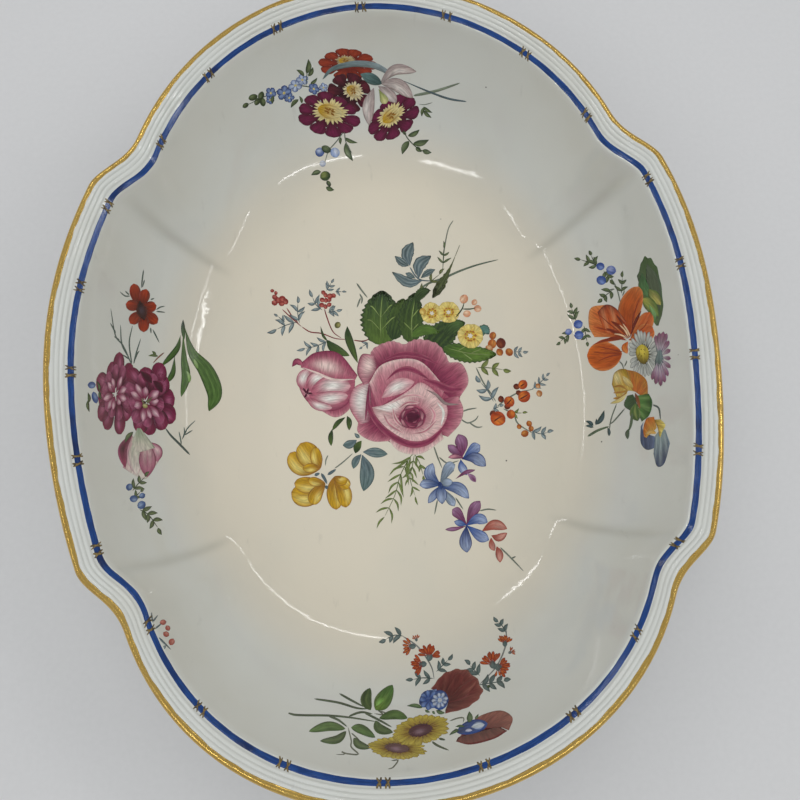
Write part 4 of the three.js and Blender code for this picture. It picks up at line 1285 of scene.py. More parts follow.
def paint_centre_spray(art):
    """A big rose with its bud, yellow roses, pea flowers, blue stars and orange berries."""
    paint_upper_leaves(art)
    paint_red_florets(art)
    paint_orange_sprigs(art)
    paint_blue_flowers(art)
    paint_rose_leaves(art)
    paint_pea_flowers(art)
    paint_rose_bud(art)
    paint_rose(art)


def paint_left_spray(art):
    """A red anemone, long leaves, crimson double flowers and a pink tulip."""
    grass = "55645c"
    strokes(art, 0.3, grass, (-5.7, -17.3, -9.5, -25.6, -12.8, -30.1, -14.8, -41.7), (-7.4, -21,
        -10, -26.4, -10.6, -34.6), (-4.9, -17.7, -3.7, -22.7, -1.8, -28.7), (-4.6, -19, -3.4, -22,
        -2.4, -23.4), (-6.6, -19.6, -9.8, -21.8), (-12.6, -31, -15, -35.4),
        (-11, -28, -13.4, -29.6), (-5.7, -17.7, -6.8, -26.8, -5.4, -34.2), (3.3, -32.6, 6.2, -26.8),
        (2.4, -33.4, 2.6, -30.8))
    strokes(art, 0.3, grass, (-0.6, -58.4, -1.2, -54, -1.6, -50.4), (-0.2, -54, -1.2, -50.6), (-6.4,
        -47, -8.6, -47, -10.9, -48.9), (-6.8, -47.4, -8.6, -49.2), (4.8, -41, 6.6, -42.2, 8.7,
        -42.6), (4.8, -40.4, 8.8, -39.9), (2.4, -45.4, 4, -46))
    blades(art, (((17.2, -33, 20.3, -22.7, 26.4, -14.6, 30, -5, 27.6, 2.6), 3.6), ((16.4, -31, 16.8,
        -20, 17.6, -12, 15.6, -3.6), 1.9), ((15.3, -30, 13.6, -24, 7.1, -16.7), 1.3), ((12.8, -21,
        12, -14, 9.4, -9.6), 1.2)), "4a6236", "40601f", belly=0.62, stripe=("6f9048", 3, 0.5),
        edge=("30461e", 4))
    blade(art, (16.4, -36.8, 16.4, -33, 16.8, -28), 0.9, "3f4a42", "4a6236")
    blade(art, (21, -20, 22, -17.6, 22.8, -15.6), 0.8, "9db57a", "6f9048")
    blade(art, (18, -14.6, 19, -12.4, 19.2, -9.6), 0.8, "9db57a", "6f9048")
    strokes(art, 0.28, "7a4a3a", (8.3, -22.7, 5.6, -20.4, 3.4, -18))
    leaves(art, ((5.6, -21, 1.4, -21.2, 0.6), (4.6, -21.4, 3, -23.2, 0.6)), LEAF, SAGE)
    strokes(art, 0.5, "4a564e", (19.4, 21.5, 15, 17, 11, 13, 8.8, 10))
    strokes(art, 0.28, grass, (15.7, 17.2, 15.2, 14, 14.6, 11.4), (16, 15, 17, 12, 16.8, 9.4),
        (16.2, 14.4, 18.4, 10, 21.8, 6.6), (17, 13, 20.6, 10.8))

    for x, y, turn, long in ((-4.1, -47.8, -100, 4.6), (-0.5, -46.2, -75, 3.9),
            (1.8, -42.2, -12, 3.2), (2.4, -37.8, 42, 3.9), (-0.6, -35.6, 90, 4.2),
            (-4, -37.8, 132, 3.6), (-5, -42.8, 192, 3.4)):
        pen = Pen((x, y), 1, turn)
        art.raise_layer()
        art.daub(pen, (-long, 0, 0, 0, long, 0), 2.4, belly=0.6, roundness=0.5, base="5a1a12",
            tip="b23c18", edge=("842612", 4), stripe=("6e2014", 3, 0.5))
    blade(art, (-2.4, -45, -1.6, -40.9, -0.4, -36.8), 2.4, "2e1616", "3a1a1a", edge="5e2418",
        ruffle=0.1, ruffles=5, glow=("4a3a44", 0, 0.5, 0.5, 0.2))

    crimson, crimson_dark, rose = "7a1a42", "440a24", "a85a7c"
    for at, turn, squash, petals, radius in (((-12.2, -4.5), 95, 0.52, 11, 16.5), ((2.4, -2.4), 80,
            0.72, 11, 16), ((-12.6, -5), 95, 0.5, 9, 11.8), ((0.8, -2.4), 80, 0.74, 9, 11.6)):
        petal_ring(art, Pen(at, 1, turn, squash), petals, radius * 0.2, radius, radius * 0.28,
            jitter=0.15, start=11 * radius, belly=0.66, roundness=0.5, base=crimson_dark,
            tip=crimson, rim=(rose if radius < 12 else crimson, 4), edge=(crimson_dark, 3),
            glow=(rose, 0.2, 0.68, 0.35, 0.14))
    blades(art, (((-2, -14.6, 0.6, -12, 3, -9.6), 1.8), ((3.4, -10.4, 5.6, -8.4, 7.4, -5.4), 1.9)),
        crimson_dark, "3a0820", edge=crimson)
    for at, turn, squash, petals, radius in (((-12.8, -4.6), 95, 0.52, 9, 8.2), ((0, -1.2), 75,
            0.74, 9, 8.6)):
        petal_ring(art, Pen(at, 1, turn, squash), petals, radius * 0.12, radius, radius * 0.25,
            jitter=0.22, belly=0.6, base=crimson, tip="c482a0", edge=(crimson, 4), stripe=(crimson,
            3, 0.4), glow=("e0c4c8", 0.1, 0.7, 0.4, 0.2))
    strokes(art, 0.35, "6c6a4a", (-0.4, 0, -1.6, -3), (0.8, -0.6, 2.6, -2.4), (0, -1, 3.4, -3.6))
    buds(art, ((0, 0.4, 1),), "9c9a5a", "c8bf90")

    petal(art, (-6, 13, -3, 15, 0, 15, 4, 17), (-9.6, 27, -3, 31, 1, 31.4, 6, 24), "c8c2b0",
        "ddd2c8", edge=("c08a98", 5))
    blade(art, (-5.4, 12.4, -9.6, 19, -8.6, 27), 2, "6a1a3c", "8a2c50", edge="a8607a",
        glow=("3e0a20", 0, 0.5, 0.5, 0.2))
    blade(art, (-4.4, 15, -4.4, 22, -3.6, 30), 3.4, "b9c0aa", "ded6cc", edge=("c08a98", 5),
        stripe=("c99aa4", 3, 0.3))
    blade(art, (1.6, 16, 5.2, 19.6, 5.2, 24.4), 2.2, "a8627c", "b87088", glow=("e0c4c4", 0, 0.5,
        0.5, 0.25), edge=("8a3458", 4))
    blade(art, (0.4, 16, 1, 23, 0.8, 31), 3.7, "c8b8b0", "b87088", edge=("8a3458", 4),
        rim=("8a3458", 10), stripe=("a04c70", 3, 0.6))
    petal(art, (-3.4, 10, -3, 10, -2.6, 10, -2, 10), (-5.6, 16, -4, 20, -1, 20, 4.4, 18.4),
        "93a488", "d3cbbe", edge=("b9bda8", 3))
    leaves(art, ((-5.2, 11.6, -8.8, 16.2, 0.9),), "3c4c2e", SAGE)
    sprigs(art, (((-5.4, 37, -3, 34, 0, 31), 2, 3.8, 0.9), ((-2.4, 45, 1.6, 47.4, 5.6, 53), 3, 4.3,
        1.1), ((-4.6, 40, -2, 37.4), 1, 2.6, 0.7)), "3c4c2e", SAGE)
    buds(art, ((-6.8, 35.4, 1.4), (-4.9, 40.4, 1.5), (-1.2, 39.1, 1.2), (-1.5, 43.1, 1.7)),
        "33548c", "8aa2c4")
    buds(art, ((-23, -8.6, 1.5),), COBALT, SKY)
    bud(art, (-21.6, -3.2), 1.3, 75, 2, COBALT, SKY)
    leaves(art, ((-19.6, -6, -20.8, -10.4, 0.6), (-19.6, -6, -18.8, -2.2, 0.6), (-24.2, -1, -24.6,
        -5.4, 0.7), (-24.6, -2, -24, 3, 0.7)), MOSS, SAGE)


def paint_right_spray(art):
    """Nasturtiums with blue berries, daisies and a two-coloured pansy."""
    strokes(art, 0.28, STEM, (-9.1, -35.8, -6.4, -30.5, -4.2, -21), (-7.6, -31, -10, -30.6),
        (-3.2, -30.4, -4.2, -28), (-19, -17.6, -18, -15.6, -16.4, -13.4))
    sprigs(art, (((-14.6, -41, -18, -42.4, -22.4, -43.8), 2, 3.6, 0.9), ((-16, -41.6, -17.8, -45.6),
        1, 3.4, 0.9), ((-8.4, -30.6, -11, -28.6, -13, -26.8), 2, 3.6, 1), ((-4.6, -29, -4.2, -36),
        2, 3.4, 0.8), ((-24.4, -17, -26.4, -22.6), 2, 3.4, 0.9), ((-27, -11.8, -31.4, -8), 2, 3,
        0.8), ((-21, -15, -19.6, -8), 2, 3.1, 0.8), ((-12.4, -39, -9.6, -35), 2, 3.2, 1)), "37482e",
        SAGE)
    buds(art, ((-13.8, -40.9, 1.7), (-13.4, -34.8, 2), (-23.5, -15.6, 1.9), (-23.2, -10.9, 1.9)),
        "34509a", "7f97d0", 1.1)
    buds(art, ((-9.1, -39.2, 2), (-27.7, -12.3, 1.4)), "4f66a8", "a9b4de", 1.1)

    petal(art, (5.4, -25, 7, -21, 8.6, -18, 10.6, -15), (2.2, -36.4, 5.6, -45, 11, -40, 13.6, -24,
        11.6, -15), "5a7a3a", "3f5c30", stripe=("35502c", 4), edge=("4a5a44", 4), ruffle=0.02,
        ruffles=4)
    blade(art, (6.6, -42, 9.4, -33, 11, -18), 3, "4a5a44", "44563a", edge="4a5a44")
    blade(art, (4.4, -38, 5, -32, 7.4, -27.4), 2.2, "3a6238", "4d7a44")
    blade(art, (7.4, -31, 9.6, -28, 12.6, -24), 2.4, "6f7c38", "c4b85c", edge=("4f6a30", 1.5))
    blade(art, (4.4, -27, 7.4, -24.6, 11.6, -19), 2.6, "b0ac48", "6f8c40", edge=("4f6a30", 1.5))
    blade(art, (7.6, -24, 9.4, -20.4, 10, -16.6), 1, "7faa6a", "5f8a50")

    orange, deep, light, dark_red = "c4571f", "a03c14", "dc8c4c", "6a1c14"
    blade(art, (-1.6, -10.4, -1.4, -21, 3, -32), 4.9, deep, "c05a1c", belly=0.6, roundness=0.5,
        edge=(light, 7), rim=(light, 16), stripe=("a84a14", 4, 0.5))
    petal(art, (-7, -18.6, -4, -12, -4.6, -10.6, -9, -10), (-11, -24.2, -18, -22.6, -18.8, -15,
        -16.4, -10), deep, orange, rim=(light, 6), stripe=("d88a4a", 3, 0.5), edge=(light, 6))
    petal(art, (-12, -12, -8, -11, -4, -11, -1.6, -11), (-15, -21, -11.4, -24.2, -7, -22.6, -2.6,
        -17), orange, "b04a1e", rim=(dark_red, 9), stripe=("e0b080", 3, 0.4))
    blades(art, (((-0.4, -9.6, 4.2, -13.6, 8, -20.8), 3.6), ((-0.4, -9.2, 5, -11.4, 9, -14.4), 3.8),
        ((-1.4, -8.8, 3, -9.6, 6.6, -11), 1.8)), deep, orange, belly=0.65, roundness=0.5,
        edge=(light, 7), stripe=(light, 3, 0.4))
    blade(art, (-0.8, -10, 1.6, -16.6, 4, -21.4), 0.6, dark_red, dark_red)
    blade(art, (-4.4, -3, -12, -1.8, -19.6, -2), 6.6, "b04c1a", "d2691e", roundness=0.5,
        edge=(light, 8), stripe=("b04814", 3, 0.5), glow=("b85416", -0.2, 0.75, 0.6, 0.2))
    blade(art, (-17, -6.6, -13, -8.2, -8.4, -9, -4.8, -9), 0.8, dark_red, dark_red, edge=orange)
    strokes(art, 0.22, "8a3018", (-5, -12, -10, -16, -14.6, -20), (-6, -11.6, -12, -13.4, -17,
        -14.6), (-4, -3.6, -9, -4.6, -15, -6), (-4.4, -2.6, -10, -1.4, -15, 0.6), (-5, -3, -11, -3,
        -17, -3.4), (0, -14, 1, -20, 3.4, -27), (1.4, -11.6, 5, -14, 7.4, -17.6))
    blade(art, (-1.8, -8, -3.2, -5.4, -2, -2.8), 1.4, "d2691e", "d88a4a", edge=orange)
    blades(art, (((-1.4, -9.6, -4.6, -14, -9.2, -17), 1), ((-1.6, -9.4, -6, -11.6, -11.2, -13.8),
        1), ((-2.4, -8.6, -6, -9.8, -11.4, -9), 0.8), ((-1, -9.8, -2.4, -14, -7, -20), 0.8)), deep,
        dark_red, edge=deep)
    strokes(art, 0.35, "ecc9a0", (-1.4, -10, -3, -13, -5.4, -15.4), (-0.8, -10.4, -2, -13, -4, -16),
        (-2, -9.6, -5, -11, -7.8, -11.4))

    petal_ring(art, Pen((5, -2.6), 1, 86, 0.64), 24, 3.2, 10.6, 1.1, jitter=0.06, belly=0.7,
        roundness=0.5, base="8f958f", tip="cfd2ce", edge=("9aa09c", 3), rim=("8f958f", 9))
    petal_ring(art, Pen((4.9, -2.6), 1, 86, 0.7), 22, 2.6, 5, 0.3, jitter=0.1, base="5c5436",
        tip="4c4a30")
    blade(art, (4.4, -6.8, 4.6, -3, 5.4, 1.8), 2.8, "cdb83c", "6a5a20", belly=0.5, roundness=0.5,
        glow=("dcc94e", -0.1, 0.4, 0.7, 0.3))
    petal_ring(art, Pen((4.6, -3.4), 1, 30, 1.3), 7, 0.9, 1.6, 0.2, jitter=0.3, base="7a6a22",
        tip="7a6a22")
    strokes(art, 0.5, "7c8e92", (12.4, -4, 12, -8), (11.6, -3, 10.6, -6), (13, -3, 13.8, -6),
        (11.6, 3, 9.4, 5.6), (11.8, 3.6, 11.4, 6.4), (12.6, 3.6, 13.6, 6))
    blade(art, (12.2, -5, 12, 0, 11.2, 4.6), 1.8, "6f8588", "3a4c4a", stripe=("9ab0b2", 3))
    mauve = "86506e"
    for x, y in ((10.4, -10.8), (12, -12), (13.8, -12.4), (15.2, -11.6), (16.2, -8.4), (16.8, -4.6),
            (17, -0.6), (16.8, 3.4), (15.8, 7), (14.4, 9.8), (12.6, 11.4), (10.4, 10.6),
            (8.8, 8.6)):
        blade(art, (12 + 0.25 * (x - 12), -1.4 + 0.25 * (y + 1.4), x, y), 0.95, "c2bac4", mauve,
            belly=0.7, roundness=0.5, edge=("9c86a0", 4), rim=(mauve, 2))

    yellow, brown = "d0b25a", "b87a26"
    petal(art, (-6.4, 17, -3, 14, -1, 13.4, 2, 14), (-8.8, 10.6, -7.6, 5.6, -3.4, 3.8, 1, 6.6),
        yellow, "b8962e", rim=("9a7a28", 7), stripe=(brown, 4, 0.6), glow=("e4d69a", -0.35, 0.75,
        0.3, 0.25))
    petal(art, (0, 13, 1.6, 14, 3, 15, 4, 15.6), (-2.6, 4.2, 2.4, 5.4, 6.4, 9, 7, 15), "c06a28",
        "bd8030", rim="a86a22", stripe=("b04a20", 3, 0.5), edge=("9a8a3a", 6))
    blade(art, (-4, 7, -2, 9.6, 0.6, 12), 1.3, "e0cf94", "cfae5a")
    for y, width in ((11, 0.7), (13.6, 0.7), (16, 0.9)):
        blade(art, (-1.8, 13.4, -4.6, y + 0.4, -8.2, y + 0.8), width, "a86a22", "9a5a20",
            edge=yellow)
    blade(art, (-2, 14.6, -5, 17.4, -9.4, 19), 0.8, "ddd094", "cbb870")
    petal(art, (0.4, 15, 1.6, 17, 2, 19, 3, 20), (-2, 15.6, -3.4, 20, 0.6, 23, 0.8, 25), "3a5232",
        "3f5c3c")
    petal(art, (2, 15.6, 2.4, 18, 3, 21, 3, 24), (7.4, 14.8, 8.9, 18.5, 7.6, 24, 4.3, 26.9),
        "4d7a38", "2f5a24", stripe=("8ab068", 3, 0.5))
    blade(art, (1.6, 19, 1.4, 23, 2.6, 26.6), 2.4, "4a7034", "3f5c30", stripe=("b0b468", 2))
    blade(art, (1.4, 14.4, 2.4, 17, 3.6, 21.4), 0.8, "7a3c20", "8a5428")
    strokes(art, 0.28, STEM, (-3, 21.1, -7.7, 26.5, -10, 28.2), (-6.7, 19.1, -9.1, 25.8, -10.1,
        32.5), (-5.6, 0.4, -4.2, 2, -3.6, 4.2), (-3.4, 3, -2.4, 1, -2.4, 0.2))
    strokes(art, 0.4, "4f5a58", (9, 19.5, 11.7, 21.1, 12.5, 26.2))
    strokes(art, 0.55, "5a6a50", (0.2, 23, -0.4, 28, -1.4, 31), (-19.4, 33.4, -15, 30.8, -10, 29))
    blade(art, (-1.2, 30, -2, 32, -1.8, 34.6), 0.9, "4a5a44", "4a5a44")
    leaves(art, ((-15.4, 28.2, -12.1, 22, 1.1), (-15.8, 28.4, -15.6, 25.6, 0.6), (-16.8, 28.6,
        -20.3, 26.6, 0.8), (-16.8, 29.4, -20.3, 28.8, 0.7), (-10, 33.2, -10.6, 29.4, 0.7)),
        "33483f", SLATE)
    slate, slate_light = "3c4a68", "6f80a0"
    petal(art, (5, 27, 4.6, 30, 6, 32, 10, 33.4), (3.8, 29, 3.8, 36, 6.4, 39.2, 10, 38.4), slate,
        slate, edge=(slate_light, 4), stripe=(slate_light, 4, 0.35))
    petal(art, (10.2, 33, 11.8, 31, 13, 30, 14.6, 30.6), (9.4, 41, 11, 46.4, 14.2, 45, 16.6, 36.4),
        "8fa4a4", slate, edge=("6f8490", 4), stripe=("b4c2c2", 3, 0.5))
    petal(art, (10.8, 29.6, 9, 31.6, 7.2, 33, 6.4, 34), (9.6, 24.8, 6.4, 25.6, 5, 30, 5.4, 33.6),
        "d0a048", "c46a1c", stripe=("b05a1a", 3, 0.4))
    petal(art, (10, 26, 10.6, 28, 11.4, 30, 12, 33), (12.6, 26, 14.6, 28.4, 13.4, 31, 12.4, 34),
        "b8922e", "dccb6e", stripe=("a8842e", 3))
    blade(art, (6, 32.4, 8.4, 31.4, 10.6, 32), 0.9, "e0b870", "d8a850")


def paint_bottom_spray(art):
    """Brown-red poppies with blue hearts, sunflowers, and fans of orange florets."""
    strokes(art, 0.45, "55604a", (-53.8, 1.2, -50, 2, -38.2, 2.2, -30, 2.9, -19.1, 4.6), (-43.6,
        -4.4, -34.1, -2.9, -27, -0.8, -22.6, -0.4), (-33.7, -6.5, -28.6, -3.6, -23.9, -1.2), (-30,
        2.5, -25.2, 0.9, -20.5, 1.6), (-38.2, 2.2, -34, 4, -30.6, 6.6), (-24, 1, -18, 4, -13, 6.8),
        (2.7, 12.4, 5, 14, 9.5, 15.9), (5.4, 11.2, 8, 11.8))
    strokes(art, 0.28, "6d7060", (-30.3, 6.6, -29, 12, -29, 14.6, -26.2, 17.4, -30.6, 17.2, -32.8,
        16.4, -31.6, 17.4, -35.1, 17.5), (-29, 9, -25.6, 12), (-13.4, 20, -10.6, 19.8, -12.6, 22.6,
        -14.6, 23.2), (-19, -0.4, -16.6, 1.8, -20, 1.4), (9.5, 4.4, 13, 3.2, 15.2, 3.2, 15, 5),
        (-17.6, 0.4, -14, 1.8))
    for path, width, base, tip in (((-21.4, 0, -23.2, -4, -21.6, -8.6), 2.2, "42562e", "3a4e2a"),
            ((-19.4, 0, -16.6, -3.6, -12.8, -9.8), 3.2, "5f7e2c", "4a7034"), ((-17.9, 3.3, -12, 1.8,
            -6.9, 3.2), 1.9, "44602f", "4f6f38"), ((-19.4, 4.2, -17.8, 7.4, -12.6, 8.8), 1.9,
            "4a5f38", "3f5430"), ((-29, 6.9, -25, 7.6, -19.6, 10.8), 1.9, "5a7a42", "4a6a38"),
            ((-28, 11, -26, 13.6, -21.6, 15), 1.6, "4f6340", "44563a"), ((-31, 8.4, -34.6, 11.6,
            -41.2, 12.2), 1.6, "3f5034", "4a5f3c"), ((-31.4, 7.4, -38, 6.4, -45.6, 8.4), 1.9,
            "4f6b38", "5a7a42")):
        blade(art, path, width, base, tip, belly=0.5, roundness=0.65, edge=("35452a", 4),
            stripe=("8a9e58", 2, 0.3))
    blade(art, (-19.2, -1.6, -18, -3.4, -16, -4.6), 1.1, "86b058", "6f9a44")

    grey_leaf = "6b7a76"
    strokes(art, 0.3, "7a7c78", (-8.9, -29.1, -3.4, -25.4, 0, -21.3, 2.7, -16.5, 3.6, -12.2), (32,
        -31.5, 31.6, -25, 28, -17, 21.4, -10))
    sprigs(art, (((-8.4, -29, -12, -29.4, -15.4, -27.8), 2, 3.8, 1), ((4.4, -15, 9, -19.6), 2, 3.4,
        0.9), ((3.4, -12.4, -1, -12.6, -4.6, -12), 2, 3.8, 0.9), ((21.6, -13.4, 17.6, -17.6), 2,
        3.6, 1), ((21, -9.8, 26, -10.6, 31, -11.4), 3, 4, 1.1), ((32, -30, 30.4, -33, 28.8, -34.6),
        2, 3.1, 0.9)), "445552", grey_leaf)
    buds(art, ((25, -9.2, 0.6),), "35452a", "4a5f3c")
    red = "962c10"
    for x, y, radius, turn, petals in ((-3.4, -27.6, 2.1, -100, 4), (-5, -25, 4.2, 180, 5), (1.8,
            -21.4, 4.6, -120, 6), (1.8, -20.6, 4.6, -60, 6), (-0.8, -18, 4.6, 170, 7), (31.4, -26,
            3.6, -90, 6), (33.4, -22.6, 2.2, -30, 4), (26.6, -17.8, 5, -110, 7), (28.6, -17, 4.8, 0,
            6), (28.6, -16.4, 3.6, 60, 3)):
        petal_ring(art, Pen((x, y), 1, turn), petals + 1, radius * 0.1, radius, radius * 0.13,
            start=-56, sweep=130, jitter=0.1, belly=0.72, roundness=0.6, base=red, tip=red,
            edge=("7c1e08", 4), glow=("d4742c", 0, 0.62, 0.35, 0.24), spacing=0.45)
        bud(art, (x, y), radius * 0.26, turn, 1.3, "4f605e", grey_leaf)

    brown, brown_dark, brown_light = "6e2e2a", "501e1e", "8e5448"
    petal(art, (5, -7, 8, -5.6, 9, -3, 8, 0), (2.4, -8.4, 8, -14.6, 16.5, -15.6, 22.6, -7.6, 17,
        -1.2, 8, 1.4), brown_dark, brown, stripe=(brown_light, 7, 0.3), rim=(brown_light, 14),
        ruffle=0.03, ruffles=5)
    blade(art, (8, -4, 12, -9, 14, -14.6), 2.6, brown_dark, brown, edge=brown)
    blade(art, (9, -3, 14.6, -7, 20.6, -12), 2.4, brown_dark, brown, edge=brown, glow=(brown_light,
        0.4, 0.8, 0.3, 0.3))
    blue, blue_dark, blue_light = "2f4f92", "1f3568", "7f9ac8"
    petal(art, (4.4, -6, 3.6, -5, 3.4, -4, 4, -1.6), (4.6, -8.2, -0.6, -7, -2.2, -2.4, 2.4, -0.4),
        blue, blue_dark, edge=(blue_light, 5), stripe=(blue_light, 4, 0.3))
    blade(art, (1.8, -3.8, 5.4, -3.9, 9.3, -3.8), 3.9, blue_dark, blue_dark, roundness=0.5,
        edge=blue, stripe=(blue_light, 3, 0.3))
    blade(art, (3, -4, 5.4, -3.8, 7.8, -3.8), 2.7, "c6cfd8", "d4d6d4", roundness=0.5,
        edge=blue_light, stripe=(blue_light, 3, 0.45))
    for at, radius, inner, outer in (((1.6, -4), 4, blue_light, blue), ((5.8, -3.8), 3.2, "dcdedc",
            blue_light)):
        petal_ring(art, Pen(at, 1, 20, 1), 9, radius * 0.25, radius, radius * 0.3, jitter=0.1,
            roundness=0.5, base=outer, tip=inner, edge=(blue_dark, 4), rim=(outer, 5))
    petal(art, (13, 10.8, 17, 9, 24, 7.4, 28, 6), (12.2, 12.4, 18, 13.6, 27, 11.4, 32.4, 8.2),
        brown_dark, brown, stripe=(brown_light, 5, 0.25))
    petal(art, (13.4, 11, 18, 8.6, 24, 7.4, 30, 6.8), (17, 6, 22, 2.2, 29.6, 0.2, 34.4, 3, 33, 8),
        brown, brown_light, stripe=(brown, 6, 0.4), rim=(brown_light, 3))
    blade(art, (12.6, 8.8, 18, 6.8, 24.6, 5.4), 2.7, blue_dark, blue, roundness=0.5, edge=blue)
    blade(art, (18.2, 6.8, 20.8, 6.2, 23.4, 5.8), 1.6, "c6cfd8", "c6cfd8", edge=blue_light)
    blade(art, (15.8, 8.4, 17, 8, 18.6, 8), 0.6, "c3c6da", "c3c6da")
    leaves(art, ((-1, -0.9, -7, -1.6, 0.8), (0, 0, 2, 0.9, 0.5), (3, 0.4, 4, 1.6, 0.5), (4.4, 0.2,
        7.8, 1.2, 0.8), (17.2, 5, 17.4, 0.6, 1.2), (19.6, 3.6, 21, 1.6, 0.5), (15.6, 6.6, 12, 6.6,
        0.5), (13.4, 8, 9.6, 9.9, 0.6), (13, 7.6, 11, 8.6, 0.4)), "3a5230", "6a8058")
    for at, turn, radius, squash, heart in (((-11, 15), 5, 11.4, 0.38, "5f3c3e"), ((-1.8, 8), -12,
            11.5, 0.5, "4a1f2a")):
        pen = Pen(at, 1, turn, squash)
        art.raise_layer()
        art.daub(pen, (-radius * 0.84, 0, 0, 0, radius * 0.84, 0), radius * 0.84, roundness=0.5,
            base="a88c34", tip="a88c34")
        petal_ring(art, pen, 34, radius * 0.3, radius, radius * 0.12, jitter=0.07, belly=0.72,
            roundness=0.5, base="86661c", tip="c0ae42", edge=("ae963c", 4), rim=("94803a", 12))
        petal_ring(art, pen, 20, radius * 0.3, radius * 0.62, radius * 0.04, jitter=0.12,
            base="7a5a26", tip="8f6f2c")
        petal_ring(art, pen, 22, radius * 0.2, radius * 0.46, radius * 0.05, jitter=0.08,
            base=heart, tip=heart)
        art.daub(pen, (-radius * 0.42, 0, 0, 0, radius * 0.42, 0), radius * 0.42, roundness=0.5,
            base=heart, tip=heart, glow=("8a6a78", 0.2, 0.45, 0.4, 0.2))


def paint_sprig(art):
    """A thin grey twig with a few red florets at the left."""
    strokes(art, 0.3, SLATE, (-6, 1.2, -4.6, -1, -4.8, -6.4), (-5.4, 0.6, -2.4, -1.4, -0.8, -3),
        (-5.2, 1.4, -1.6, 3.4, 2.2, 7.2), (-4.4, -3, -2.6, -5.4))
    leaves(art, ((-5, -2, -6.4, -4.4, 0.5), (-3.4, 2.6, -4, 5, 0.5), (0.4, 5.6, -1, 7.6, 0.5)),
        SLATE, MIST)
    buds(art, ((-0.7, -2.8, 1), (1, -0.7, 0.9), (0.4, 1.5, 1), (2.4, 4.3, 1.1)), "a03a2c", "cf7a6c",
        1.2)


def spray_operator(name, label, note, middle, seed, paint):
    """Builds the operator that paints one spray."""

    def execute(self, context):
        art = Drawing(Form(context.scene.bowl_shape), middle, seed)
        paint(art)
        art.piece(name, make_enamel())
        return {"FINISHED"}

    return type("BOWL_OT_" + name, (bpy.types.Operator,), {"__doc__": note,
        "bl_idname": "bowl." + name, "bl_label": label, "execute": execute})


# Middles of the sprays, as pixels of the picture
TOP_MIDDLE = (355, 105)
LEFT_MIDDLE = (145, 405)
CENTRE_MIDDLE = (410, 400)
RIGHT_MIDDLE = (632, 360)
BOTTOM_MIDDLE = (425, 710)
SPRIG_MIDDLE = (165, 630)

BOWL_OT_top_spray = spray_operator("top_spray", "Spray of primulas",
    "Paint the spray of primulas at the far end", TOP_MIDDLE, 3, paint_top_spray)
BOWL_OT_centre_spray = spray_operator("centre_spray", "Spray with the rose",
    "Paint the big spray on the floor", CENTRE_MIDDLE, 5, paint_centre_spray)
BOWL_OT_left_spray = spray_operator("left_spray", "Spray with the tulip",
    "Paint the spray on the left wall", LEFT_MIDDLE, 7, paint_left_spray)
BOWL_OT_right_spray = spray_operator("right_spray", "Spray of nasturtiums",
    "Paint the spray on the right wall", RIGHT_MIDDLE, 11, paint_right_spray)
BOWL_OT_bottom_spray = spray_operator("bottom_spray", "Spray of poppies",
    "Paint the spray at the near end", BOTTOM_MIDDLE, 13, paint_bottom_spray)
BOWL_OT_sprig = spray_operator("sprig", "Small sprig",
    "Paint the small twig beside the near left shoulder", SPRIG_MIDDLE, 17, paint_sprig)


def length_property(name, description, default):
    return bpy.props.FloatProperty(name=name, description=description, default=default,
        unit="LENGTH")


class BowlShape(bpy.types.PropertyGroup):
    """Sizes of the bowl."""

    width: length_property("Width", "Across the rim, side to side", CAD_SIZE.x)
    length: length_property("Length", "Along the rim, end to end", CAD_SIZE.y)
    height: length_property("Height", "From the foot to the rim", CAD_HIGH.z)
    wall_thickness: length_property("Wall", "Thickness of the wall", 4 * MM)
    floor_thickness: length_property("Floor", "Thickness of the floor", 4.5 * MM)
    edge_radius: length_property("Edge", "Radius of the rolled gilt edge", 1.8 * MM)
    gilding: length_property("Gilding", "How far the gilding stands proud", GILDING)
    band_inset: length_property("Band inset", "From the rim to the blue band", 7.9 * MM)
    band_width: length_property("Band width", "Width of the blue band", 1.9 * MM)


def colour_property(name, description, code):
    return bpy.props.FloatVectorProperty(name=name, description=description, default=srgb(code),
        subtype="COLOR", min=0, max=1)


class BowlLooks(bpy.types.PropertyGroup):
    """Colours of the glaze, gold and blue."""

    # The warmth of the floor glaze and the coolness of the wall glaze are partly painted light: a
    # warm glow on the floor and a cool sheen up the wall.
    floor_glaze: colour_property("Floor glaze", "Glaze on the floor", "dfd7c4")
    wall_glaze: colour_property("Wall glaze", "Glaze on the wall", "dadcd6")
    pooled_glaze: colour_property("Pooled glaze", "Glaze where it is thickest", "cfcdc0")
    gold: colour_property("Gold", "Burnished gold", "f2d27c")
    gold_deep: colour_property("Deep gold", "Gold in its brush marks", "c89a40")
    blue: colour_property("Blue", "Blue enamel", "11346c")
    blue_light: colour_property("Light blue", "Blue enamel where it is thin", "1f4a8e")
    blue_deep: colour_property("Deep blue", "Blue enamel where strokes overlap", "0e1b44")
    floor_colour: colour_property("Floor", "The floor under the bowl", "dcdcdc")


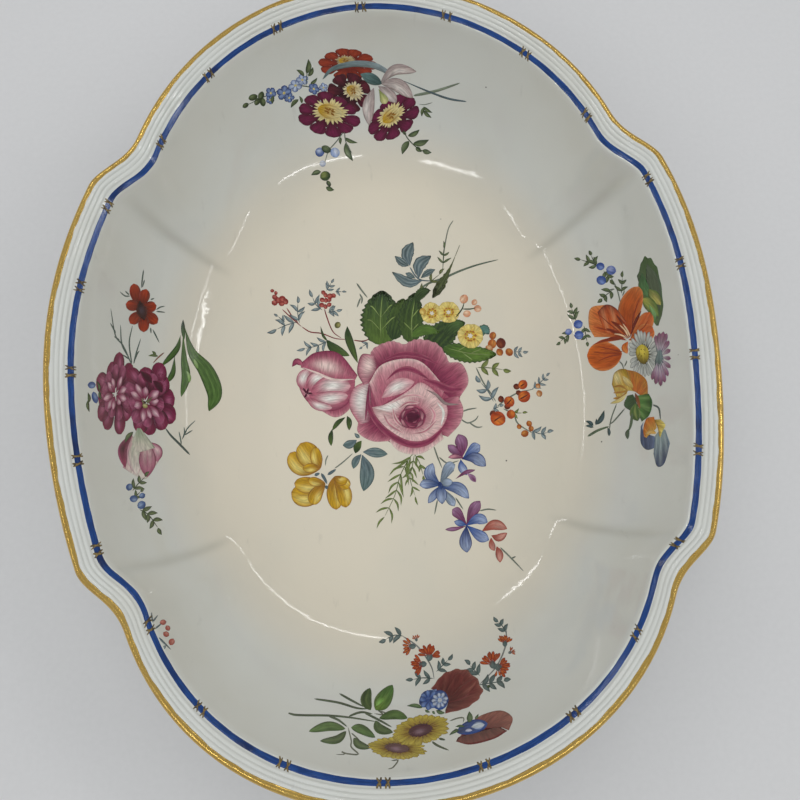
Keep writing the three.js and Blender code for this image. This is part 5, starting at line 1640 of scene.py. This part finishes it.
class BOWL_OT_body(bpy.types.Operator):
    """Make the glazed body, with its reeded lip"""

    bl_idname = "bowl.body"
    bl_label = "Porcelain body"

    def execute(self, context):
        form = Form(context.scene.bowl_shape)
        angle = packed_angles(COLUMNS)
        wall = column_of(0, 1 - WALL_BREAK, WALL_ROWS)[1:]
        slope = column_of(LIP_WIDTH - LIP_BREAK, REED_END, SLOPE_ROWS)
        turn = np.radians(column_of(*EDGE_TURNS, EDGE_ROWS))
        rows = [form.floor(angle, column_of(POLE_SHARE, 1, FLOOR_ROWS)),
            form.inner_wall(angle, wall), lip_break(form, angle), form.lip(angle, slope),
            reeds(form, angle),
            form.edge(angle, form.edge_radius - context.scene.bowl_shape.gilding, turn),
            under_lip(form, angle), form.outer_wall(angle, column_of(UNDER_LIP_END, 0, OUTER_ROWS)),
            underside(form, angle)]
        radius = np.concatenate([np.broadcast_to(r, (len(r), COLUMNS)) for r, _ in rows])
        height = np.concatenate([np.broadcast_to(h, (len(h), COLUMNS)) for _, h in rows])
        points = round_points(angle, radius, height).reshape(-1, 3)
        count = len(points)
        ends = [(0, 0, form.floor_top), (0, 0, height[-1].mean())]
        ring = np.arange(COLUMNS)
        faces = [wrapped_quads(len(radius), COLUMNS, False), pole(count, ring, True),
            pole(count + 1, ring + count - COLUMNS, False)]
        material = make_glaze(context.scene.bowl_looks)
        mesh = new_mesh("porcelain", np.concatenate([points, ends]), faces, [material])
        # The crease depth is stored as "fold", which darkens the glaze along each shoulder as
        # painted shade.
        reach = bezier(wall, 0, FLOOR_CURVE, 1 - WALL_FLARE, 1)
        crease_shade_depths = np.zeros(count + len(ends))
        start = len(rows[0][0]) * COLUMNS
        crease_shade_depths[start:start + reach.size * COLUMNS] = form.fold(angle, reach).ravel()
        set_vectors(mesh, "fold", np.repeat(crease_shade_depths[:, None], 3, axis=1))
        add_piece("glazed_body", mesh, ["porcelain_body"])
        return {"FINISHED"}


def column_of(first, last, count):
    """Evenly spaced values as a column, to be worked out against a row of angles."""
    return np.linspace(first, last, count)[:, None]


def lip_break(form, angle):
    """Soft turn from the wall into the lip: a quadratic curve with its corner at the foot of
    the lip."""
    t = column_of(0, 1, 8)[1:-1]
    starts = form.inner_wall(angle, 1 - WALL_BREAK)
    corner = form.inner_wall(angle, 1.0)
    ends = form.lip(angle, LIP_WIDTH - LIP_BREAK)
    return tuple((1 - t) ** 2 * a + 2 * t * (1 - t) * b + t ** 2 * c
                 for a, b, c in zip(starts, corner, ends))


def reeds(form, angle):
    """Three rounded reeds along the lip: the lift is the absolute sine across the lip, and it
    wavers a little round the bowl, as tooled by hand."""
    share = column_of(0, 1, REED_COUNT * 9 + 1)[1:]
    waver = 1 + 0.22 * np.sin(17 * angle + 2 * share) + 0.16 * np.sin(41 * angle - 5 * share)
    lift = REED_HEIGHT * waver * np.abs(np.sin(math.pi * REED_COUNT * share)) ** 0.8
    inset = REED_END + (LIP_START - 0.3 * MM - REED_END) * share
    return form.lip(angle, inset + 0 * angle, lift)


def under_lip(form, angle):
    """Underside of the lip: a cubic curve from the rolled edge in to the outside of the wall."""
    t = column_of(0, 1, 12)[1:-1]
    start = form.edge(angle, form.edge_radius - GILDING, math.radians(EDGE_TURNS[1]))
    below = form.lip(angle, *UNDER_LIP_BEND)
    near = form.outer_wall(angle, UNDER_LIP_NEAR)
    last = form.outer_wall(angle, UNDER_LIP_END)
    return tuple(bezier(t, a, b, c, d) for a, b, c, d in zip(start, below, near, last))


def underside(form, angle):
    """Flat seat for the foot ring, and inside it a shallow hollow."""
    seat = oval(angle, FOOT_WIDTH, FOOT_LENGTH) + SEAT_MARGIN
    share = column_of(1, POLE_SHARE, 16)
    hollow = HOLLOW_DEPTH * (1 - smoothstep((share - 0.5) / 0.4))
    return seat * share, FOOT_HEIGHT + hollow + 0 * angle


class BOWL_OT_foot(bpy.types.Operator):
    """Make the foot ring, with its ground edge"""

    bl_idname = "bowl.foot"
    bl_label = "Foot ring"

    def execute(self, context):
        angle = np.linspace(0, 2 * math.pi, FOOT_COLUMNS, endpoint=False)
        middle = oval(angle, FOOT_WIDTH, FOOT_LENGTH) - FOOT_TOP / 2
        level = np.concatenate([np.linspace(1, 0.14, 14), np.linspace(0.13, 0, 6)])[:, None]
        flare = (FOOT_TOP - FOOT_NECK) / 2 * level ** 4
        below = np.clip(1 - level * FOOT_HEIGHT / FOOT_ROUND, 0, 1)
        half = FOOT_NECK / 2 + flare - (FOOT_NECK - FOOT_CONTACT) / 2 * below ** 2
        radius = np.concatenate([middle + half, (middle - half)[::-1]])
        height = np.concatenate([level, level[::-1]]) * FOOT_HEIGHT
        points = round_points(angle, radius, height + 0 * angle).reshape(-1, 3)
        faces = [wrapped_quads(len(radius), len(angle), True)]
        mesh = new_mesh("foot", points, faces, [make_foot(context.scene.bowl_looks)])
        add_piece("foot_ring_glazed", mesh, ["foot_ring"])
        return {"FINISHED"}


def brush_vectors(angle, radius, across):
    """Pattern vectors along and across a band: the place on a circle of the band's own size, and
    the distance across."""
    radius, across = np.broadcast_arrays(radius, across)
    return np.stack([radius * np.cos(angle), radius * np.sin(angle), across], -1).reshape(-1, 3)


class BOWL_OT_gilding(bpy.types.Operator):
    """Make the gilding wrapped round the rolled edge"""

    bl_idname = "bowl.gilding"
    bl_label = "Gilt edge"

    def execute(self, context):
        shape = context.scene.bowl_shape
        form = Form(shape)
        angle = packed_angles(COLUMNS)
        waver = 5 * np.sin(23 * angle) + 4 * np.sin(57 * angle + 1) + 3 * np.sin(131 * angle + 2)
        share = column_of(0, 1, GILT_ROWS)
        turn = np.radians(GILT_TURN + waver - (GILT_SWEEP + waver) * share)
        inner = form.edge_radius - shape.gilding * 2
        parts = [form.edge(angle, form.edge_radius, turn), form.edge(angle, inner, turn[::-1])]
        radius = np.concatenate([r for r, _ in parts])
        height = np.concatenate([h for _, h in parts])
        points = round_points(angle, radius, height).reshape(-1, 3)
        faces = [wrapped_quads(len(radius), COLUMNS, True)]
        mesh = new_mesh("gilding", points, faces, [make_gold(context.scene.bowl_looks)])
        across = np.concatenate([share, share[::-1]]) * 5 * MM
        set_vectors(mesh, "brush", brush_vectors(angle, form.outline(angle, 1), across))
        add_piece("gilt_edge", mesh, ["rim_gilding"])
        return {"FINISHED"}


def band_inset_at(form, angle):
    """Distance of the band from the rim: it drifts in towards one end, as drawn by hand."""
    return form.band_inset - 0.3 * MM * np.cos(angle + 0.6)


class BOWL_OT_ties(bpy.types.Operator):
    """Make the gilt crosses over the blue band, two at each tie"""

    bl_idname = "bowl.ties"
    bl_label = "Gilt ties"

    def execute(self, context):
        form = Form(context.scene.bowl_shape)
        chance = np.random.default_rng(23)
        dense = np.linspace(0, 2 * math.pi, 4001)
        radius = form.lip(dense, band_inset_at(form, dense) + form.band_width / 2, 0 * dense)[0]
        steps = np.hypot(np.diff(radius * np.cos(dense)), np.diff(radius * np.sin(dense)))
        walked = np.concatenate([[0], np.cumsum(steps)])

        tie = np.repeat(np.arange(TIE_COUNT), 4)
        side = np.tile([-1, -1, 1, 1], TIE_COUNT)
        arm = np.tile([-1, 1, -1, 1], TIE_COUNT)
        drift = TIE_DRIFT * np.sin(2 * math.pi * (tie - TIE_DRIFT_START) / TIE_COUNT)
        middle = walked[-1] * (tie + TIE_OFFSET + drift) / TIE_COUNT + side * CROSS_STEP / 2
        lean = arm * (CROSS_LENGTH / 2) * chance.uniform(0.75, 1.05, len(tie))
        reach = CROSS_REACH / 2 * chance.uniform(0.9, 1.05, len(tie))
        long = np.hypot(lean, reach)
        way = np.stack([lean, reach], -1) / long[:, None]

        v = np.linspace(-1, 1, STROKE_ROWS)[None, :, None]
        loop = np.array([-1, 0, 1, 0])[None, None, :]
        stroke = CROSS_STROKE / 2 * (1 - 0.45 * v ** 4)
        half = stroke * chance.uniform(0.7, 1.1, len(tie))[:, None, None]
        bend = 0.18 * MM * np.sin(2.4 * v + 6 * chance.random(len(tie))[:, None, None])
        place = middle[:, None, None] + way[:, None, None, 0] * long[:, None, None] * v
        place = place - way[:, None, None, 1] * (loop * half + bend)
        across = way[:, None, None, 1] * long[:, None, None] * v
        across = across + way[:, None, None, 0] * (loop * half + bend)
        angle = np.interp(place % walked[-1], walked, dense)
        inset = band_inset_at(form, angle) + form.band_width / 2 + across
        over_blue = smoothstep((form.band_width / 2 + 0.3 * MM - np.abs(across)) / (0.4 * MM))
        lift = np.array([0.02, 0.09, 0.02, 0])[None, None, :] * MM + 0.10 * MM * over_blue
        lift[..., 3] = -0.12 * MM
        points = round_points(angle, *form.lip(angle, inset, lift)).reshape(-1, 3)

        index = np.arange(points.shape[0]).reshape(len(tie), STROKE_ROWS, 4)
        beside = np.roll(index, -1, axis=2)
        sides = np.stack([index[:, :-1], index[:, 1:], beside[:, 1:], beside[:, :-1]], -1)
        caps = np.concatenate([index[:, 0], index[:, -1, ::-1]])
        material = make_tie_gold()
        mesh = new_mesh("ties", points, [sides.reshape(-1, 4), caps], [material])
        brush = np.stack([place + 0 * across, across + 0 * place, lift + 0 * place], -1)
        set_vectors(mesh, "brush", brush.reshape(-1, 3))
        add_piece("gilt_crosses", mesh, list(TIES))
        return {"FINISHED"}


class BOWL_OT_band(bpy.types.Operator):
    """Make the blue enamel band"""

    bl_idname = "bowl.band"
    bl_label = "Blue band"

    def execute(self, context):
        form = Form(context.scene.bowl_shape)
        angle = packed_angles(COLUMNS)
        share = column_of(0, 1, BAND_ROWS)
        outer_waver = 0.07 * np.sin(9 * angle) + 0.04 * np.sin(73 * angle + 2)
        inner_waver = 0.06 * np.sin(14 * angle + 1) + 0.04 * np.sin(97 * angle + 4)
        width = form.band_width + (outer_waver + inner_waver) * MM
        inset = band_inset_at(form, angle) + form.band_width + inner_waver * MM - width * share
        lift = 0.10 * MM * np.sin(math.pi * (0.06 + 0.88 * share)) ** 0.5 + 0 * angle
        top = form.lip(angle, inset, lift)
        under = form.lip(angle, inset[::-1], -0.15 * MM + 0 * angle)
        radius = np.concatenate([top[0], np.broadcast_to(under[0], inset.shape)])
        height = np.concatenate([top[1], np.broadcast_to(under[1], inset.shape)])
        points = round_points(angle, radius, height).reshape(-1, 3)
        faces = [wrapped_quads(len(radius), COLUMNS, True)]
        mesh = new_mesh("band", points, faces, [make_blue(context.scene.bowl_looks)])
        across = np.concatenate([share, share[::-1]]) * form.band_width
        set_vectors(mesh, "brush", brush_vectors(angle, form.outline(angle, 1), across))
        add_piece("blue_enamel_band", mesh, ["blue_band"])
        return {"FINISHED"}


class BOWL_OT_stage(bpy.types.Operator):
    """Make the floor, the lamps, the world and the camera"""

    bl_idname = "bowl.stage"
    bl_label = "Stage"

    def execute(self, context):
        scene = context.scene
        add_floor(tuple(scene.bowl_looks.floor_colour))
        add_world()
        for lamp in SOFT_LAMPS:
            add_soft_lamp(*lamp)
        for strip in STRIPS:
            add_strip(*strip)
        camera = bpy.data.cameras.new("camera")
        camera.sensor_width = SENSOR_MM
        camera.lens = CAMERA_LENS_MM
        camera.clip_start = CLIP_START
        holder = bpy.data.objects.new("camera", camera)
        holder.matrix_world = camera_matrix()
        scene.collection.objects.link(holder)
        scene.camera = holder
        scene.view_settings.view_transform = "Standard"
        return {"FINISHED"}


# The plain floor, the world's light, and broad lamps: name, place in metres, size and power
FLOOR_HALF_SIZE = 3.0
FLOOR_GRAIN = 0.94
WORLD_COLOUR = (0.93, 0.96, 1.0, 1)
WORLD_STRENGTH = 0.34
SOFT_LAMPS = (("overhead_soft", (-0.3, 0.55, 1.4), 1.0, 5.0),
    ("near_soft", (-0.2, -1.1, 1.1), 0.8, 2.6), ("right_soft", (1.2, 0.1, 1.0), 0.8, 1.6))


def add_floor(colour):
    """A flat square of fine-grained pale colour."""
    recipe = Recipe("pale_floor")
    place = recipe.place()
    grain = recipe.noise(place, 400, 2.0)
    dark = tuple(c * FLOOR_GRAIN for c in colour)
    material = recipe.finish(base_color=recipe.mix(grain, dark, colour), roughness=0.9)
    corners = FLOOR_HALF_SIZE * np.array([(-1, -1, 0), (1, -1, 0), (1, 1, 0), (-1, 1, 0)])
    mesh = new_mesh("floor", corners, [np.array([[0, 1, 2, 3]])], [material])
    floor = bpy.data.objects.new("floor", mesh)
    bpy.context.scene.collection.objects.link(floor)


def add_world():
    world = bpy.data.worlds.new("studio")
    bpy.context.scene.world = world
    world.use_nodes = True
    background = world.node_tree.nodes["Background"]
    background.inputs["Color"].default_value = WORLD_COLOUR
    background.inputs["Strength"].default_value = WORLD_STRENGTH


# Ceiling lamps: the ends of each strip, in metres from the bowl's middle
STRIPS = (("strip_near_right", (0.12, -0.70), (1.0, -0.78)),
    ("strip_near_left", (-0.3, -0.6), (-1.2, -0.85)),
    ("strip_far_right", (0.08, 0.74), (0.66, 0.72)),
    ("strip_far_left", (-0.38, 0.82), (-1.0, 1.1)), ("strip_right", (0.6, 0.24), (1.25, 0.03)),
    ("strip_side_left", (-1.35, -0.5), (-1.2, 0.7)), ("strip_side_right", (1.5, -0.6), (1.4, 0.6)))
STRIP_HEIGHT = 1.2
STRIP_WIDTH = 0.042
STRIP_POWER = 1.8


def add_area_lamp(name, place, size, power):
    lamp = bpy.data.lights.new(name, "AREA")
    lamp.shape = "RECTANGLE"
    lamp.size, lamp.size_y = size
    lamp.energy = power
    holder = bpy.data.objects.new(name, lamp)
    holder.location = place
    bpy.context.scene.collection.objects.link(holder)
    return holder


def add_soft_lamp(name, place, size, power):
    """A broad lamp aimed at the bowl, that the glaze doesn't mirror."""
    holder = add_area_lamp(name, place, (size, size), power)
    holder.visible_glossy = False
    holder.rotation_euler = (-Vector(place)).to_track_quat("-Z", "Y").to_euler()


def add_strip(name, start, end):
    """A narrow lamp that faces straight down, and shows as a bright line in the glaze."""
    start, end = Vector(start), Vector(end)
    long = (end - start).length
    holder = add_area_lamp(name, (*((start + end) / 2), STRIP_HEIGHT), (long, STRIP_WIDTH),
        STRIP_POWER * long)
    holder.rotation_euler = (0, 0, math.atan2(*(end - start).yx))


class BOWL_PT_panel(bpy.types.Panel):
    """Sidebar panel with the bowl's steps and settings"""

    bl_label = "Oval painted bowl"
    bl_space_type = "VIEW_3D"
    bl_region_type = "UI"
    bl_category = "Bowl"

    def draw(self, context):
        for step in STEPS:
            self.layout.operator(step.bl_idname)
        for group in (context.scene.bowl_shape, context.scene.bowl_looks):
            for name in group.bl_rna.properties.keys():
                if name not in ("name", "rna_type"):
                    self.layout.prop(group, name)


STEPS = (BOWL_OT_stage, BOWL_OT_body, BOWL_OT_foot, BOWL_OT_gilding, BOWL_OT_band, BOWL_OT_ties,
    BOWL_OT_top_spray, BOWL_OT_centre_spray, BOWL_OT_left_spray, BOWL_OT_right_spray,
    BOWL_OT_bottom_spray, BOWL_OT_sprig)
CLASSES = (BowlShape, BowlLooks, *STEPS, BOWL_PT_panel)


def register():
    for entry in CLASSES:
        bpy.utils.register_class(entry)
    bpy.types.Scene.bowl_shape = bpy.props.PointerProperty(type=BowlShape)
    bpy.types.Scene.bowl_looks = bpy.props.PointerProperty(type=BowlLooks)


def unregister():
    del bpy.types.Scene.bowl_looks
    del bpy.types.Scene.bowl_shape
    for entry in reversed(CLASSES):
        bpy.utils.unregister_class(entry)


def main():
    register()
    for step in STEPS:
        group, name = step.bl_idname.split(".")
        getattr(getattr(bpy.ops, group), name)()


if __name__ == "__main__":
    main()
